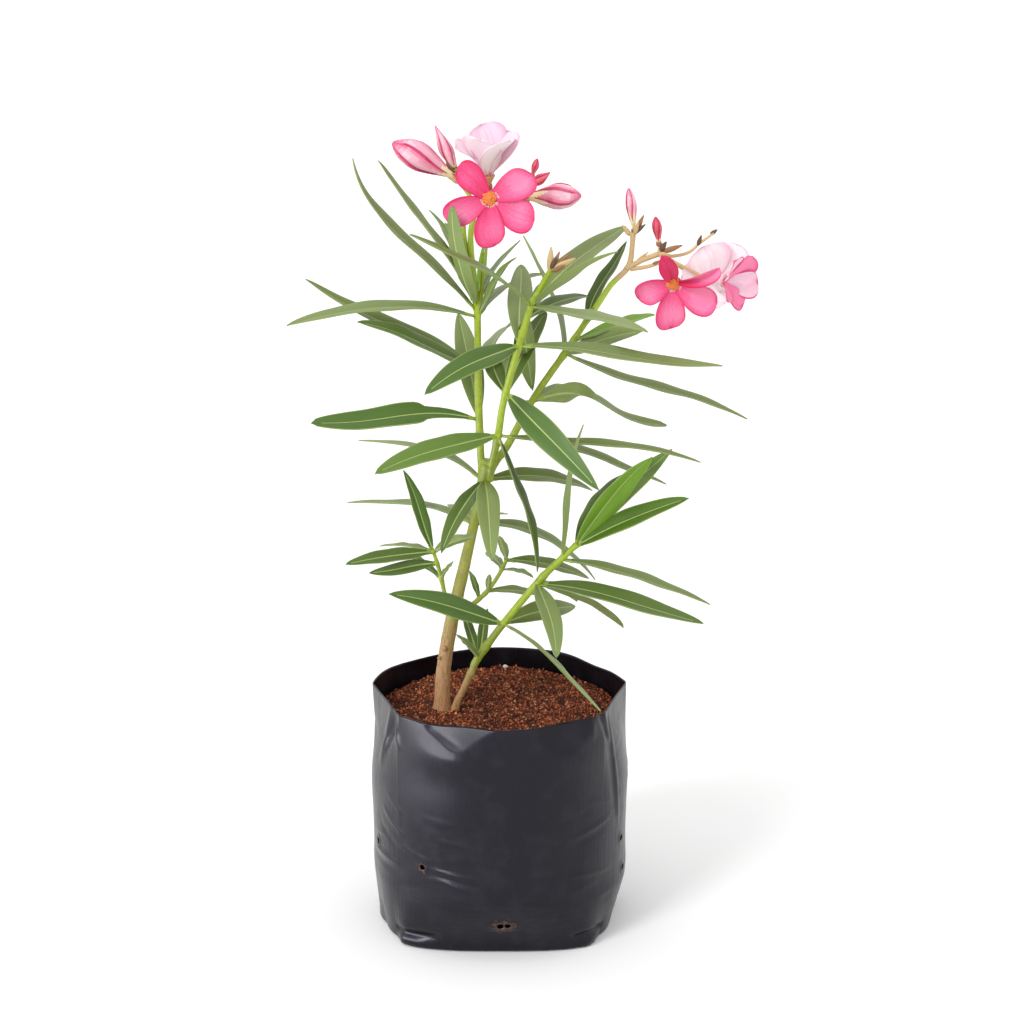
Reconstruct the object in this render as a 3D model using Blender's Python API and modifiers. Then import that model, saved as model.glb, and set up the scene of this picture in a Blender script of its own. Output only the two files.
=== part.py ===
# A young oleander in a nursery grow bag: bag, potting mix, two stems from the mix, three boughs,
# and the leaves and blossom that they carry. Metres, +Z up, origin at the middle of the bag's flat
# underside, -Y the front.
#
# Every limb is a path of (x, y, z, radius) in millimetres, and every leaf is a short row of
# (heading, rise, length, arch, roll): heading and rise in degrees give the line from the leaf's root
# to its tip (heading 0 is +X, 90 is +Y), length is in millimetres, arch is how far the blade bows
# above that line in hundredths of its length, and roll in degrees turns the blade about it.
import math

import bmesh
import bpy
from mathutils import Quaternion, Vector
from mathutils.bvhtree import BVHTree

MM = 0.001
GAP = 0.3 * MM  # clearance between pieces that touch on the real plant
UP = Vector((0, 0, 1))

# The grow bag: a flat, squarish foot that rounds out into a tube.
BAG_HEIGHT = 139 * MM
BAG_WALL = 1.0 * MM
BAG_SIDES = 40
FOOT_HALF_WIDTH = 71 * MM
FOOT_HALF_DEPTH = 59 * MM
FOOT_SQUARENESS = 2.6
TUBE_RADIUS = 74 * MM
SHOULDER_HEIGHT = 40 * MM  # where the folded foot has become a round tube
FOOT_EDGE = 2.5 * MM
BAG_RINGS = (0, 0.02, 0.09, 0.19, 0.29, 0.53, 0.76, 1)  # shares of the height
DRAIN_RADIUS = 2.5 * MM
DRAIN_SIDES = 10
DRAIN_DRILL = 16 * MM
# Heading of each drain hole round the bag in degrees, and its level in millimetres.
DRAIN_HOLES = ((-161, 54), (-126, 52), (-88, 17), (-19, 55), (19, 52), (54, 54), (92, 17), (152, 52))

# The potting mix fills the bag to just under its rim, with a level middle.
MIX_LEVEL = 127 * MM
MIX_EDGE_LEVEL = 122 * MM
MIX_LEVEL_SHARE = 0.72  # share of the radius that is level

# Levels of the flat cuts where one limb or mass hands over to the next.
SOIL = MIX_LEVEL + GAP
FORK_LEVEL = 266 * MM
BASAL_TOP = 156.5 * MM
LEFT_BOUGH_TOP = 290 * MM
MIDDLE_BOUGH_TOP = 284 * MM
RIGHT_BOUGH_TOP = 281 * MM
LEFT_FOLIAGE_TOP = 372 * MM
RIGHT_FOLIAGE_TOP = 354.5 * MM

TRUNK = ((-33.6, 0, 119, 6.6), (-33.2, 0, 131, 4.8), (-32.4, 0, 149, 4.2), (-27.9, 0, 177, 4.0),
         (-21.6, 0, 205, 3.5), (-14.2, 0, 238, 2.9), (-10.2, 0, 256, 3.4), (-7.2, 0, 268, 4.9),
         (-5.8, 0, 274, 4.9))
BASAL_STEM = ((-26.6, -3, 120, 3.0), (-25.0, -3.4, 130, 2.3), (-21.1, -4, 138.6, 2.1),
              (-15.9, -5, 150.5, 2.1), (-12.4, -5, 158.3, 2.3), (2, -8, 179.7, 2.1),
              (21.8, -12, 205.8, 2.1), (33, -14, 218.2, 1.9), (44, -16, 229.5, 1.6))
LEFT_BOUGH = ((-10.0, 0.2, 262, 2.1), (-10.3, 1, 272, 2.1), (-10.9, 2, 285, 2.2), (-11.7, 4, 308, 2.2),
              (-12, 6, 336, 2.0), (-12.2, 7, 354, 2.0), (-12.9, 6.2, 366, 1.8), (-13.5, 5, 376, 1.6))
MIDDLE_BOUGH = ((-5.6, -2.4, 262, 2.0), (-4.3, -3.4, 272, 2.1), (-0.7, -7, 289.5, 2.1),
                (1.8, -10, 306.7, 2.0), (6.5, -14, 326.3, 2.0), (11.8, -17, 345.5, 2.0),
                (17.5, -20, 365.5, 1.9), (22, -21, 374, 1.6), (28.3, -22, 386.3, 1.5))
RIGHT_BOUGH = ((-5.7, 2.3, 261, 2.0), (-4.0, 2.8, 268, 2.0), (0.2, 4.6, 275, 2.1), (5.4, 7, 282.1, 2.2),
               (18.4, 14, 304.8, 2.0), (28.6, 18, 319.6, 2.0), (37.1, 21, 331.1, 1.9),
               (47.3, 25, 345.8, 1.8), (54, 27.5, 356, 1.6))
LEFT_SHOOT = ((-26.5, -1.6, 184, 1.3), (-30.4, -2.4, 192, 1.3), (-32.4, -3.6, 202, 1.3),
              (-34.9, -5, 213.2, 1.2), (-37.8, -6, 223.2, 1.0))
RIGHT_SHOOT = ((-26, 0.6, 181, 1.3), (-20.6, 2.8, 184, 1.3), (-11.8, 5, 190.6, 1.3), (-7, 7, 194.8, 1.3),
               (-2.1, 9, 201.1, 1.2), (1.8, 11, 207.7, 1.2), (4.2, 12, 212.5, 1.0))
# A pale young peduncle beside the left bough's own, and the three prongs of a spent flower stalk.
YOUNG_PEDUNCLE = ((-11.5, 6, 353, 1.3), (-9.6, 4, 372, 1.2), (-8.6, 1, 392, 1.0))
SPENT_PRONGS = (((27.5, -22, 384, 1.3), (28.2, -22, 398, 0.9)), ((27.5, -22, 384, 1.2), (32, -20, 395, 0.8)),
                ((27.5, -22, 384, 1.3), (41, -24, 392, 1.1)))

# Whorls: the level of each on its stem in millimetres, then its leaves.
LEFT_WHORLS = {
    297: ((-165, 2, 95, 4, -35), (101, 36, 82, 3, 0)),
    326: ((-172, 29, 108, -1, -15), (-145, 24, 85, 2, -30), (71, 8, 85, 6, -35)),
    355: ((-160, 1, 109, 7, -10), (64, 7, 85, 6, -25), (-62, 39, 55, 4, 0)),
    359: ((-158, 51, 112, -2, -25), (70, 22, 75, 5, -40)),
    362: ((139, 45, 104, 1, 25), (-104, 51, 76, 3, -10), (119, 39, 72, 4, 30), (83, 32, 60, 3, 0),
          (-140, 66, 52, 2, 0)),
}
MIDDLE_WHORLS = {
    290: ((-144, -7, 82, 5, -35), (-69, -47, 90, 12, -40), (1, -8, 114, 2, 0)),
    315: ((-48, -29, 85, 10, 50), (104, 12, 62, 5, 0), (69, 29, 72, 4, 0)),
    343: ((-129, -10, 80, 8, -35), (-18, -2, 114, 0, 10), (89, 25, 78, 6, 0), (99, -27, 60, 6, 0)),
    359: ((55, 3, 60, 5, 15), (86, -47, 70, 8, -30)),
    366: ((-136, 29, 100, 3, -20), (-45, -2, 85, 1, 5), (50, 22, 90, 5, 10), (-47, 30, 75, 3, 0),
          (76, 21, 25, 2, 0)),
}
RIGHT_WHORLS = {
    286: ((19, -21, 100, 3, 10),),
    305: ((28, -15, 92, 6, 15), (64, -4, 55, 4, 50), (99, -26, 50, 5, 0)),
    331: ((-1, -20, 110, -1, 5), (107, 35, 96, 4, 60), (-54, 16, 72, 3, 25)),
    338: ((-53, 20, 82, 1, 30),),
    348: ((66, 33, 76, 4, -30), (-58, 29, 16, 2, 0)),
}
BASAL_WHORLS = {
    159: ((-116, 39, 34, 3, 0), (109, 32, 34, 3, 0), (80, 37, 34, 3, 0)),
    180: ((-147, 22, 80, 5, -55), (-50, -20, 88, 3, -40), (54, -6, 72, 6, 45)),
    205: ((-22, -7, 99, 3, 15), (-81, -20, 68, 8, -10), (39, -31, 76, 4, -10), (65, -25, 62, 6, 0)),
    220: ((6, -19, 90, 3, 5), (-45, 79, 82, 2, 30)),
    228: ((-46, 47, 72, 5, -30), (39, 32, 85, 5, 20), (58, 26, 68, 8, -10), (-29, 28, 78, 4, 45)),
}
LEFT_SHOOT_WHORLS = {
    206: ((128, 11, 36, 4, 0), (-62, 43, 20, 3, 0)),
    215: ((-152, 0, 42, 3, -65),),
    222: ((130, 58, 50, 3, -5), (-152, 0, 54, 3, -35), (-51, 25, 42, 5, -40), (142, -5, 40, 5, 0)),
}
RIGHT_SHOOT_WHORLS = {
    191: ((109, 30, 22, 3, 0),),
    195: ((-85, 45, 20, 3, 0), (33, -14, 42, 5, 25)),
    207: ((-61, 7, 36, 4, 0), (105, 0, 36, 4, 0)),
    212: ((-100, 43, 30, 3, 0), (29, -19, 58, 6, 30)),
}
FORK_WHORL = {
    262.5: ((-86, -23, 72, 12, 0), (148, 8, 86, 8, 10), (34, -13, 76, 8, 25), (-114, -27, 62, 8, -5)),
}
TRUNK_WHORL = {237: ((151, 1, 84, 6, 5), (20, -29, 84, 12, 15), (108, -2, 50, 5, 0), (68, -8, 50, 5, 0))}

# Blossom: each cyme is a stalk whose head carries flowers and buds on short pedicels. A flower is
# (throat x, y, z, heading, rise, petal length, cup, spin): it looks along its heading and rise, its
# petals lean forward by the cup, and spin turns them about that line. A bud is (base, tip, radius).
PETALS = 5
LEFT_CYMES = (
    {"stalk": ((-12.9, 6.2, 366, 1.6), (-13.5, 5, 376, 1.4), (-14.6, 2, 393, 1.3), (-14.8, 0, 404, 1.3),
               (-12.5, 1, 417, 1.6)),
     "flowers": ((-5, -18, 424, -90, 8, 27, 10, -90), (-6, 7, 439, -90, 78, 25, 52, 18)),
     "buds": (((-25, 1, 434), (-58, -6, 448), 8.5), ((-26, 4, 440), (-35, 4, 461), 3.2))},
    {"stalk": ((-12.5, 1, 415, 1.4), (-2, 1.5, 420, 1.2), (8, 1, 425, 1.2)),
     "flowers": (),
     "buds": (((18, 2, 433), (21, 3, 443), 1.6), ((19, 0, 430), (28, 0, 436), 2.2),
              ((13, -3, 423), (45, -7, 424), 6.5))},
)
RIGHT_CYMES = (
    {"stalk": ((52.5, 27, 353, 1.6), (62.5, 30, 367.8, 1.6), (73, 32, 379, 1.6), (75, 32, 392, 1.3),
               (75, 32, 398, 1.7)),
     "flowers": (),
     "buds": (((74.5, 32, 399), (72.5, 32, 423), 3.2), ((75.5, 32, 396), (81, 30, 408), 1.5),
              ((74, 32, 396), (69, 33, 402), 1.2))},
    {"stalk": ((71, 31.5, 377, 1.5), (80, 31.5, 382, 1.3), (90, 31, 386, 1.3)),
     "flowers": ((95, 6, 373, -85, -28, 26, 12, -92), (112, 36, 378, 30, 55, 22, 50, 40),
                 (124, 19, 372, 0, -4, 22, 46, 30)),
     "buds": (((89, 31, 392), (88, 31, 407), 2.7), ((92, 31, 388), (103, 30, 391), 1.5),
              ((108, 35, 386), (121, 36, 398), 1.4))},
)

TUBE_LENGTH = 17  # millimetres from a flower's pedicel to its throat, and the sizes along it
PEDICEL_RADIUS = 1.1
CALYX_AT, CALYX_RADIUS = 5, 2.3
THROAT_RADIUS = 3.6
MOUTH_AT, MOUTH_RADIUS = 1.5, 3.0
BUD_PROFILE = ((0, 0.35), (0.3, 0.6), (0.62, 1.0), (0.88, 0.62), (1, 0.15))  # share along, of radius

LEAF_WIDTH = 0.18  # of its length
LEAF_WIDEST = 16.5 * MM
PETAL_WIDTH = 0.68
PETAL_ARCH = 0.06
BLADE_THICKNESS = 0.014  # of its length
BLADE_FOLD = 0.15
LEAF_SEGMENTS = 5
PETAL_SEGMENTS = 4
ROOT_OFFSET = 0.35  # a leaf's root is this share of the stem's radius off its axis
COLLAR_HEIGHT = 3.2 * MM
COLLAR_DEPTH = 1.6 * MM
MERGE = 0.001 * MM
TRUNK_CLEARANCE = 1.2  # gaps, so that the facets stay clear too
LEAF_CLEARANCE = 1.5
SHARP_ANGLE = math.radians(35)
ROUND_THE_TRUNK = ("left_shoot_foliage", "right_shoot_foliage", "fork_whorl", "trunk_whorl")
TURNS = (0, 3, -3, 6, -6, 9, -9, 12, -12, 16, -16)  # degrees tried in turn where a leaf meets another

COLOURS = {
    "bag": ((0.012, 0.012, 0.014), 0.38), "mix": ((0.16, 0.065, 0.03), 0.95),
    "bark": ((0.34, 0.24, 0.12), 0.8), "shoot": ((0.24, 0.33, 0.04), 0.5),
    "leaf": ((0.06, 0.13, 0.04), 0.45), "blossom": ((0.83, 0.09, 0.24), 0.55),
}


def clear_scene():
    for thing in list(bpy.data.objects):
        bpy.data.objects.remove(thing)


def new_collection(name):
    collection = bpy.data.collections.new(name)
    bpy.context.scene.collection.children.link(collection)
    return collection


def new_object(name, mesh, collection):
    thing = bpy.data.objects.new(name, mesh)
    collection.objects.link(thing)
    return thing


def new_cutter(name, bm, collection):
    cutter = new_object(name, mesh_from(bm, name), collection)
    cutter.hide_render = True
    cutter.display_type = "WIRE"
    return cutter


def material(name):
    colour, roughness = COLOURS[name]
    finish = bpy.data.materials.new(name)
    finish.use_nodes = True
    shader = finish.node_tree.nodes["Principled BSDF"]
    shader.inputs["Base Color"].default_value = (*colour, 1)
    shader.inputs["Roughness"].default_value = roughness
    return finish


def mesh_from(bm, name):
    mesh = bpy.data.meshes.new(name)
    bm.to_mesh(mesh)
    bm.free()
    return mesh


def evaluated_mesh(thing):
    """The object's mesh with its modifiers applied and its doubled points merged."""
    graph = bpy.context.evaluated_depsgraph_get()
    mesh = bpy.data.meshes.new_from_object(thing.evaluated_get(graph))
    bm = bmesh.new()
    bm.from_mesh(mesh)
    bmesh.ops.remove_doubles(bm, verts=bm.verts, dist=MERGE)
    bm.to_mesh(mesh)
    bm.free()
    return mesh


# ---------------------------------------------------------------- bag and mix

def bag_outline(level, angle, inset):
    """A point of the bag's outer wall at a level, drawn in by the inset."""
    rise = min(level / SHOULDER_HEIGHT, 1)
    ease = rise * rise * (3 - 2 * rise)
    width = FOOT_HALF_WIDTH + (TUBE_RADIUS - FOOT_HALF_WIDTH) * ease
    depth = FOOT_HALF_DEPTH + (TUBE_RADIUS - FOOT_HALF_DEPTH) * ease
    power = 2 / (FOOT_SQUARENESS + (2 - FOOT_SQUARENESS) * ease)
    if level == 0:
        inset += FOOT_EDGE
    across, along = math.cos(angle), math.sin(angle)
    return Vector((
        math.copysign(abs(across) ** power, across) * (width - inset),
        math.copysign(abs(along) ** power, along) * (depth - inset),
        level,
    ))


def stack_rings(rings):
    """A surface closed at the bottom, drawn up through rings of (outline level, inset, level, share)."""
    bm = bmesh.new()
    bmesh.ops.create_circle(bm, cap_ends=True, segments=BAG_SIDES, radius=1)
    angle = bm.verts.layers.float.new("angle")
    for vert in bm.verts:
        vert[angle] = math.atan2(vert.co.y, vert.co.x)
    ring, edges = list(bm.verts), list(bm.edges)
    for number, (outline_level, inset, level, share) in enumerate(rings):
        if number:
            drawn = bmesh.ops.extrude_edge_only(bm, edges=edges)["geom"]
            ring = [part for part in drawn if isinstance(part, bmesh.types.BMVert)]
            edges = [part for part in drawn if isinstance(part, bmesh.types.BMEdge)]
        for vert in ring:
            point = bag_outline(outline_level, vert[angle], inset)
            vert.co = (point.x * share, point.y * share, level)
    return bm, edges


def grow_bag(collection, cutters):
    levels = [share * BAG_HEIGHT for share in BAG_RINGS]
    bm, _ = stack_rings([(level, 0, level, 1) for level in levels])
    bmesh.ops.recalc_face_normals(bm, faces=bm.faces)
    bag = new_object("grow_bag", mesh_from(bm, "grow_bag"), collection)
    wall = bag.modifiers.new("Wall", "SOLIDIFY")
    wall.thickness = BAG_WALL
    wall.offset = -1

    for heading, level in DRAIN_HOLES:
        angle = math.radians(heading)
        drill_bm = bmesh.new()
        bmesh.ops.create_cone(drill_bm, cap_ends=True, segments=DRAIN_SIDES, radius1=DRAIN_RADIUS,
                              radius2=DRAIN_RADIUS, depth=DRAIN_DRILL)
        drill = new_cutter("drain_drill", drill_bm, cutters)
        drill.location = bag_outline(level * MM, angle, 0)
        drill.rotation_euler = (math.pi / 2, 0, angle + math.pi / 2)
    drains = bag.modifiers.new("Drains", "BOOLEAN")
    drains.operation = "DIFFERENCE"
    drains.operand_type = "COLLECTION"
    drains.collection = cutters
    return bag


def potting_mix(collection):
    floor = BAG_WALL + GAP
    inset = BAG_WALL + 2 * GAP
    rings = [(0, inset, floor, 1)]
    for share in BAG_RINGS[1:-1]:
        level = share * BAG_HEIGHT
        rings.append((level, inset, level + floor, 1))
    rings.append((MIX_EDGE_LEVEL, inset, MIX_EDGE_LEVEL, 1))
    rings.append((MIX_EDGE_LEVEL, inset, MIX_LEVEL, MIX_LEVEL_SHARE))
    bm, edges = stack_rings(rings)
    bmesh.ops.holes_fill(bm, edges=edges, sides=0)
    bmesh.ops.recalc_face_normals(bm, faces=bm.faces)
    return new_object("potting_mix", mesh_from(bm, "potting_mix"), collection)


# ---------------------------------------------------------------- limbs and blades

def smooth_path(path, steps):
    """A Catmull-Rom curve through the path's points, each an (x, y, z, radius) in millimetres."""
    knots = [Vector(knot) for knot in path]
    knots = [knots[0] * 2 - knots[1], *knots, knots[-1] * 2 - knots[-2]]
    curve = []
    for before, start, end, after in zip(knots, knots[1:], knots[2:], knots[3:]):
        for step in range(steps):
            t = step / steps
            curve.append(0.5 * (2 * start + (end - before) * t
                                + (2 * before - 5 * start + 4 * end - after) * t * t
                                + (3 * start - before - 3 * end + after) * t ** 3))
    curve.append(knots[-2])
    return [point * MM for point in curve]


def point_at(path, level):
    """The point of a rising path at a level, with its radius there and its direction."""
    curve = smooth_path(path, 8)
    for low, high in zip(curve, curve[1:]):
        if low.z <= level <= high.z:
            share = (level - low.z) / (high.z - low.z)
            point = low.lerp(high, share)
            return point.xyz, point.w, (high - low).xyz.normalized()
    return curve[-1].xyz, curve[-1].w, (curve[-1] - curve[-2]).xyz.normalized()


def cut_level(bm, level, keep):
    """Cut flat at a level, keep what is above (1) or below (-1), and close the cut."""
    bmesh.ops.bisect_plane(bm, geom=[*bm.verts, *bm.edges, *bm.faces], plane_co=(0, 0, level),
                           plane_no=(0, 0, keep), clear_inner=True)
    bmesh.ops.holes_fill(bm, edges=[edge for edge in bm.edges if edge.is_boundary], sides=0)


def limb(path, resolution=1, steps=2, bottom=None, top=None, swell=0.0):
    """A closed tapering tube along a path, cut flat where a bottom or top level is given."""
    curve = bpy.data.curves.new("limb", "CURVE")
    curve.dimensions = "3D"
    curve.bevel_depth = 1
    curve.bevel_resolution = resolution
    curve.use_fill_caps = True
    points = smooth_path(path, steps)
    spline = curve.splines.new("POLY")
    spline.points.add(len(points) - 1)
    for knot, point in zip(spline.points, points):
        knot.co = (*point.xyz, 1)
        knot.radius = point.w + swell
    guide = new_object("limb", curve, bpy.context.scene.collection)
    mesh = evaluated_mesh(guide)
    bpy.data.objects.remove(guide)
    bm = bmesh.new()
    bm.from_mesh(mesh)
    if bottom is not None:
        cut_level(bm, bottom, 1)
    if top is not None:
        cut_level(bm, top, -1)
    bmesh.ops.recalc_face_normals(bm, faces=bm.faces)
    return bm


def leaf_outline(u):
    """Share of a leaf's half width at u along it: a short stalk, then a long narrow lance."""
    return max(0.14, math.sin(math.pi * u ** 0.82) ** 0.85) if u < 0.99 else 0.05


def petal_outline(u):
    """A petal is narrow at the throat and broad near its rounded end."""
    return 0.2 + 0.8 * math.sin(math.pi * u ** 1.7) ** 0.7 if u < 0.99 else 0.35


def blade(root, along, face, length, width, arch, outline, segments, swell=0.0):
    """A leaf or petal: a folded lens-shaped strip from its root, bowed towards its face."""
    side = face.cross(along)
    half_thickness = length * BLADE_THICKNESS / 2 + swell
    bm = bmesh.new()
    bmesh.ops.create_cone(bm, cap_ends=True, segments=4, radius1=1, radius2=1, depth=1)
    long_edges = [edge for edge in bm.edges if abs(edge.verts[0].co.z - edge.verts[1].co.z) > 0.5]
    bmesh.ops.subdivide_edges(bm, edges=long_edges, cuts=segments - 1, use_grid_fill=True)
    for vert in bm.verts:
        across, through, u = vert.co.x, vert.co.y, vert.co.z + 0.5
        half_width = width / 2 * outline(u)
        vert.co = (root + along * (u * length) + side * (across * (half_width + swell))
                   + face * (arch * 4 * u * (1 - u) * length + through * half_thickness
                             + abs(across) * half_width * BLADE_FOLD))
    return bm


def direction(heading, rise):
    heading, rise = math.radians(heading), math.radians(rise)
    return Vector((math.cos(rise) * math.cos(heading), math.cos(rise) * math.sin(heading), math.sin(rise)))


def leaf(root, heading, rise, length, arch, roll, swell=0.0):
    along = direction(heading, rise)
    face = (UP - along * along.z).normalized()
    face = Quaternion(along, math.radians(roll)) @ face
    width = min(length * MM * LEAF_WIDTH, LEAF_WIDEST)
    return blade(root, along, face, length * MM, width, arch / 100, leaf_outline, LEAF_SEGMENTS, swell)


# ---------------------------------------------------------------- masses

class Mass:
    """The pieces of one node before they are joined, and their surfaces for clearance tests."""

    def __init__(self, name, finish):
        self.name = name
        self.finish = finish
        self.pieces = []
        self.trees = []

    def add(self, bm):
        self.trees.append(BVHTree.FromBMesh(bm))
        self.pieces.append(mesh_from(bm, self.name))

    def touches(self, tree):
        return any(other.overlap(tree) for other in self.trees)


def add_leaves(mass, stem, whorls, others):
    """Fuse each whorl's leaves on its stem, turned a little where one would touch another node."""
    for level, leaves in whorls.items():
        axis, radius, _ = point_at(stem, level * MM)
        for heading, rise, length, arch, roll in leaves:
            root = axis + direction(heading, 0) * radius * ROOT_OFFSET
            for turn in TURNS:
                probe = leaf(root, heading, rise + turn, length, arch, roll, GAP * LEAF_CLEARANCE)
                tree = BVHTree.FromBMesh(probe)
                probe.free()
                if not any(other.touches(tree) for other in others):
                    mass.add(leaf(root, heading, rise + turn, length, arch, roll))
                    if turn:
                        print("turned", mass.name, level, heading, rise, turn)
                    break
            else:
                print("skipped", mass.name, level, heading, rise)


def add_flower(mass, head, x, y, z, heading, rise, petal, cup, spin):
    """A trumpet-shaped flower: pedicel, calyx and tube, then five petals round the throat."""
    throat = Vector((x, y, z))
    facing = direction(heading, rise)
    level = facing.cross(UP).normalized()
    tall = level.cross(facing)
    base = throat - facing * TUBE_LENGTH
    calyx = base + facing * CALYX_AT
    mouth = throat + facing * MOUTH_AT
    mass.add(limb(((*head, PEDICEL_RADIUS), (*base.lerp(calyx, 0.3), PEDICEL_RADIUS)), steps=1))
    mass.add(limb(((*base, PEDICEL_RADIUS), (*calyx, CALYX_RADIUS), (*throat, THROAT_RADIUS),
                   (*mouth, MOUTH_RADIUS)), steps=1))
    tilt = math.radians(cup)
    length = petal * MM
    for turn in range(PETALS):
        angle = math.radians(spin + turn * 360 / PETALS)
        outward = level * math.cos(angle) + tall * math.sin(angle)
        along = outward * math.cos(tilt) + facing * math.sin(tilt)
        face = facing * math.cos(tilt) - outward * math.sin(tilt)
        mass.add(blade(throat * MM, along, face, length, length * PETAL_WIDTH, PETAL_ARCH, petal_outline,
                       PETAL_SEGMENTS))


def add_bud(mass, head, base, tip, radius):
    """A furled bud on its pedicel: a spindle widest beyond its middle."""
    base, tip = Vector(base), Vector(tip)
    mass.add(limb(((*head, PEDICEL_RADIUS), (*base.lerp(tip, 0.04), PEDICEL_RADIUS)), steps=1))
    mass.add(limb([(*base.lerp(tip, u), radius * share) for u, share in BUD_PROFILE], steps=1))


def add_blossom(mass, cymes, bottom):
    for number, cyme in enumerate(cymes):
        mass.add(limb(cyme["stalk"], bottom=None if number else bottom))
        head = cyme["stalk"][-1][:3]
        for flower in cyme["flowers"]:
            add_flower(mass, head, *flower)
        for bud in cyme["buds"]:
            add_bud(mass, head, *bud)


def signed_volume(faces):
    total = 0.0
    for face in faces:
        corner = face.verts[0].co
        for second, third in zip(face.verts[1:], face.verts[2:]):
            total += corner.dot(second.co.cross(third.co)) / 6
    return total


def largest_body(mesh):
    """Drop loose scrap and fill sealed hollows, so that one closed body is left."""
    bm = bmesh.new()
    bm.from_mesh(mesh)
    left = set(bm.faces)
    bodies = []
    while left:
        front = [left.pop()]
        body = []
        while front:
            face = front.pop()
            body.append(face)
            near = {other for edge in face.edges for other in edge.link_faces} & left
            left -= near
            front += near
        bodies.append(body)
    bodies.sort(key=signed_volume)
    extra = [face for body in bodies[:-1] for face in body]
    if extra:
        print("dropped", mesh.name, [round(signed_volume(body) / MM ** 3, 2) for body in bodies[:-1]])
        bmesh.ops.delete(bm, geom=extra, context="FACES")
    bm.to_mesh(mesh)
    bm.free()


def join_mass(mass, collection, clearance=None):
    """Join a mass's pieces with one union on a collection, cut it clear of the trunk, and apply."""
    pieces = new_collection(mass.name + "_pieces")
    for mesh in mass.pieces[1:]:
        new_object("piece", mesh, pieces)
    body = new_object(mass.name, mass.pieces[0], collection)
    if len(mass.pieces) > 1:
        union = body.modifiers.new("Fuse", "BOOLEAN")
        union.operation = "UNION"
        union.operand_type = "COLLECTION"
        union.collection = pieces
        union.solver = "MANIFOLD"
    if clearance:
        cut = body.modifiers.new("Clear of the trunk", "BOOLEAN")
        cut.operation = "DIFFERENCE"
        cut.object = clearance
        cut.solver = "MANIFOLD"
    joined = evaluated_mesh(body)
    body.modifiers.clear()
    body.data = joined
    joined.name = mass.name
    for piece in list(pieces.objects):
        bpy.data.objects.remove(piece)
    bpy.data.collections.remove(pieces)
    largest_body(joined)
    joined.materials.append(mass.finish)
    return body


def collar(stem, level):
    """A short ring of leaf bases round a stem."""
    middle, radius, along = point_at(stem, level)
    ends = [middle - along * COLLAR_HEIGHT / 2, middle + along * COLLAR_HEIGHT / 2]
    return limb([(*(end / MM), (radius + COLLAR_DEPTH) / MM) for end in ends], resolution=2, steps=1)


def grow_limbs(finishes):
    """The bare limbs: the trunk to its fork, the stem beside it, and the three boughs."""
    trunk = Mass("main_trunk", finishes["bark"])
    trunk.add(limb(TRUNK, resolution=3, bottom=SOIL, top=FORK_LEVEL))
    limbs = [trunk]
    for name, path, bottom, top in (("basal_stem", BASAL_STEM, SOIL, BASAL_TOP),
                                    ("left_bough", LEFT_BOUGH, FORK_LEVEL + GAP, LEFT_BOUGH_TOP),
                                    ("middle_bough", MIDDLE_BOUGH, FORK_LEVEL + GAP, MIDDLE_BOUGH_TOP),
                                    ("right_bough", RIGHT_BOUGH, FORK_LEVEL + GAP, RIGHT_BOUGH_TOP)):
        bare = Mass(name, finishes["shoot"])
        bare.add(limb(path, resolution=2, bottom=bottom, top=top))
        limbs.append(bare)
    return limbs


def grow_blossom(finishes):
    clusters = []
    for name, cymes, bottom in (("left_blossom", LEFT_CYMES, LEFT_FOLIAGE_TOP + GAP),
                                ("right_blossom", RIGHT_CYMES, RIGHT_FOLIAGE_TOP + GAP)):
        cluster = Mass(name, finishes["blossom"])
        add_blossom(cluster, cymes, bottom)
        clusters.append(cluster)
    return clusters


def grow_foliage(finishes, limbs, blossom):
    """Each mass of leaves on its own stem: first every stem, then the leaves clear of all else."""
    trunk, basal, *boughs = limbs
    masses = {}
    for name, path, bottom, top in (
            ("left_foliage", LEFT_BOUGH, LEFT_BOUGH_TOP + GAP, LEFT_FOLIAGE_TOP),
            ("middle_foliage", MIDDLE_BOUGH, MIDDLE_BOUGH_TOP + GAP, None),
            ("right_foliage", RIGHT_BOUGH, RIGHT_BOUGH_TOP + GAP, RIGHT_FOLIAGE_TOP),
            ("basal_foliage", BASAL_STEM, BASAL_TOP + GAP, None),
            ("left_shoot_foliage", LEFT_SHOOT, None, None),
            ("right_shoot_foliage", RIGHT_SHOOT, None, None)):
        masses[name] = Mass(name, finishes["leaf"])
        masses[name].add(limb(path, bottom=bottom, top=top))
    for name, whorl in (("fork_whorl", FORK_WHORL), ("trunk_whorl", TRUNK_WHORL)):
        masses[name] = Mass(name, finishes["leaf"])
        masses[name].add(collar(TRUNK, min(whorl) * MM))
    masses["left_foliage"].add(limb(YOUNG_PEDUNCLE))
    for prong in SPENT_PRONGS:
        masses["middle_foliage"].add(limb(prong, steps=1))

    for name, stem, whorls, grows_from in (
            ("left_foliage", LEFT_BOUGH, LEFT_WHORLS, ()),
            ("middle_foliage", MIDDLE_BOUGH, MIDDLE_WHORLS, ()),
            ("right_foliage", RIGHT_BOUGH, RIGHT_WHORLS, ()),
            ("basal_foliage", BASAL_STEM, BASAL_WHORLS, ()),
            ("left_shoot_foliage", LEFT_SHOOT, LEFT_SHOOT_WHORLS, (trunk,)),
            ("right_shoot_foliage", RIGHT_SHOOT, RIGHT_SHOOT_WHORLS, (trunk,)),
            ("fork_whorl", TRUNK, FORK_WHORL, (trunk, *boughs)),
            ("trunk_whorl", TRUNK, TRUNK_WHORL, (trunk,))):
        mass = masses[name]
        others = [other for other in (*limbs, *masses.values(), *blossom)
                  if other is not mass and other not in grows_from]
        add_leaves(mass, stem, whorls, others)
    return masses


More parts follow.
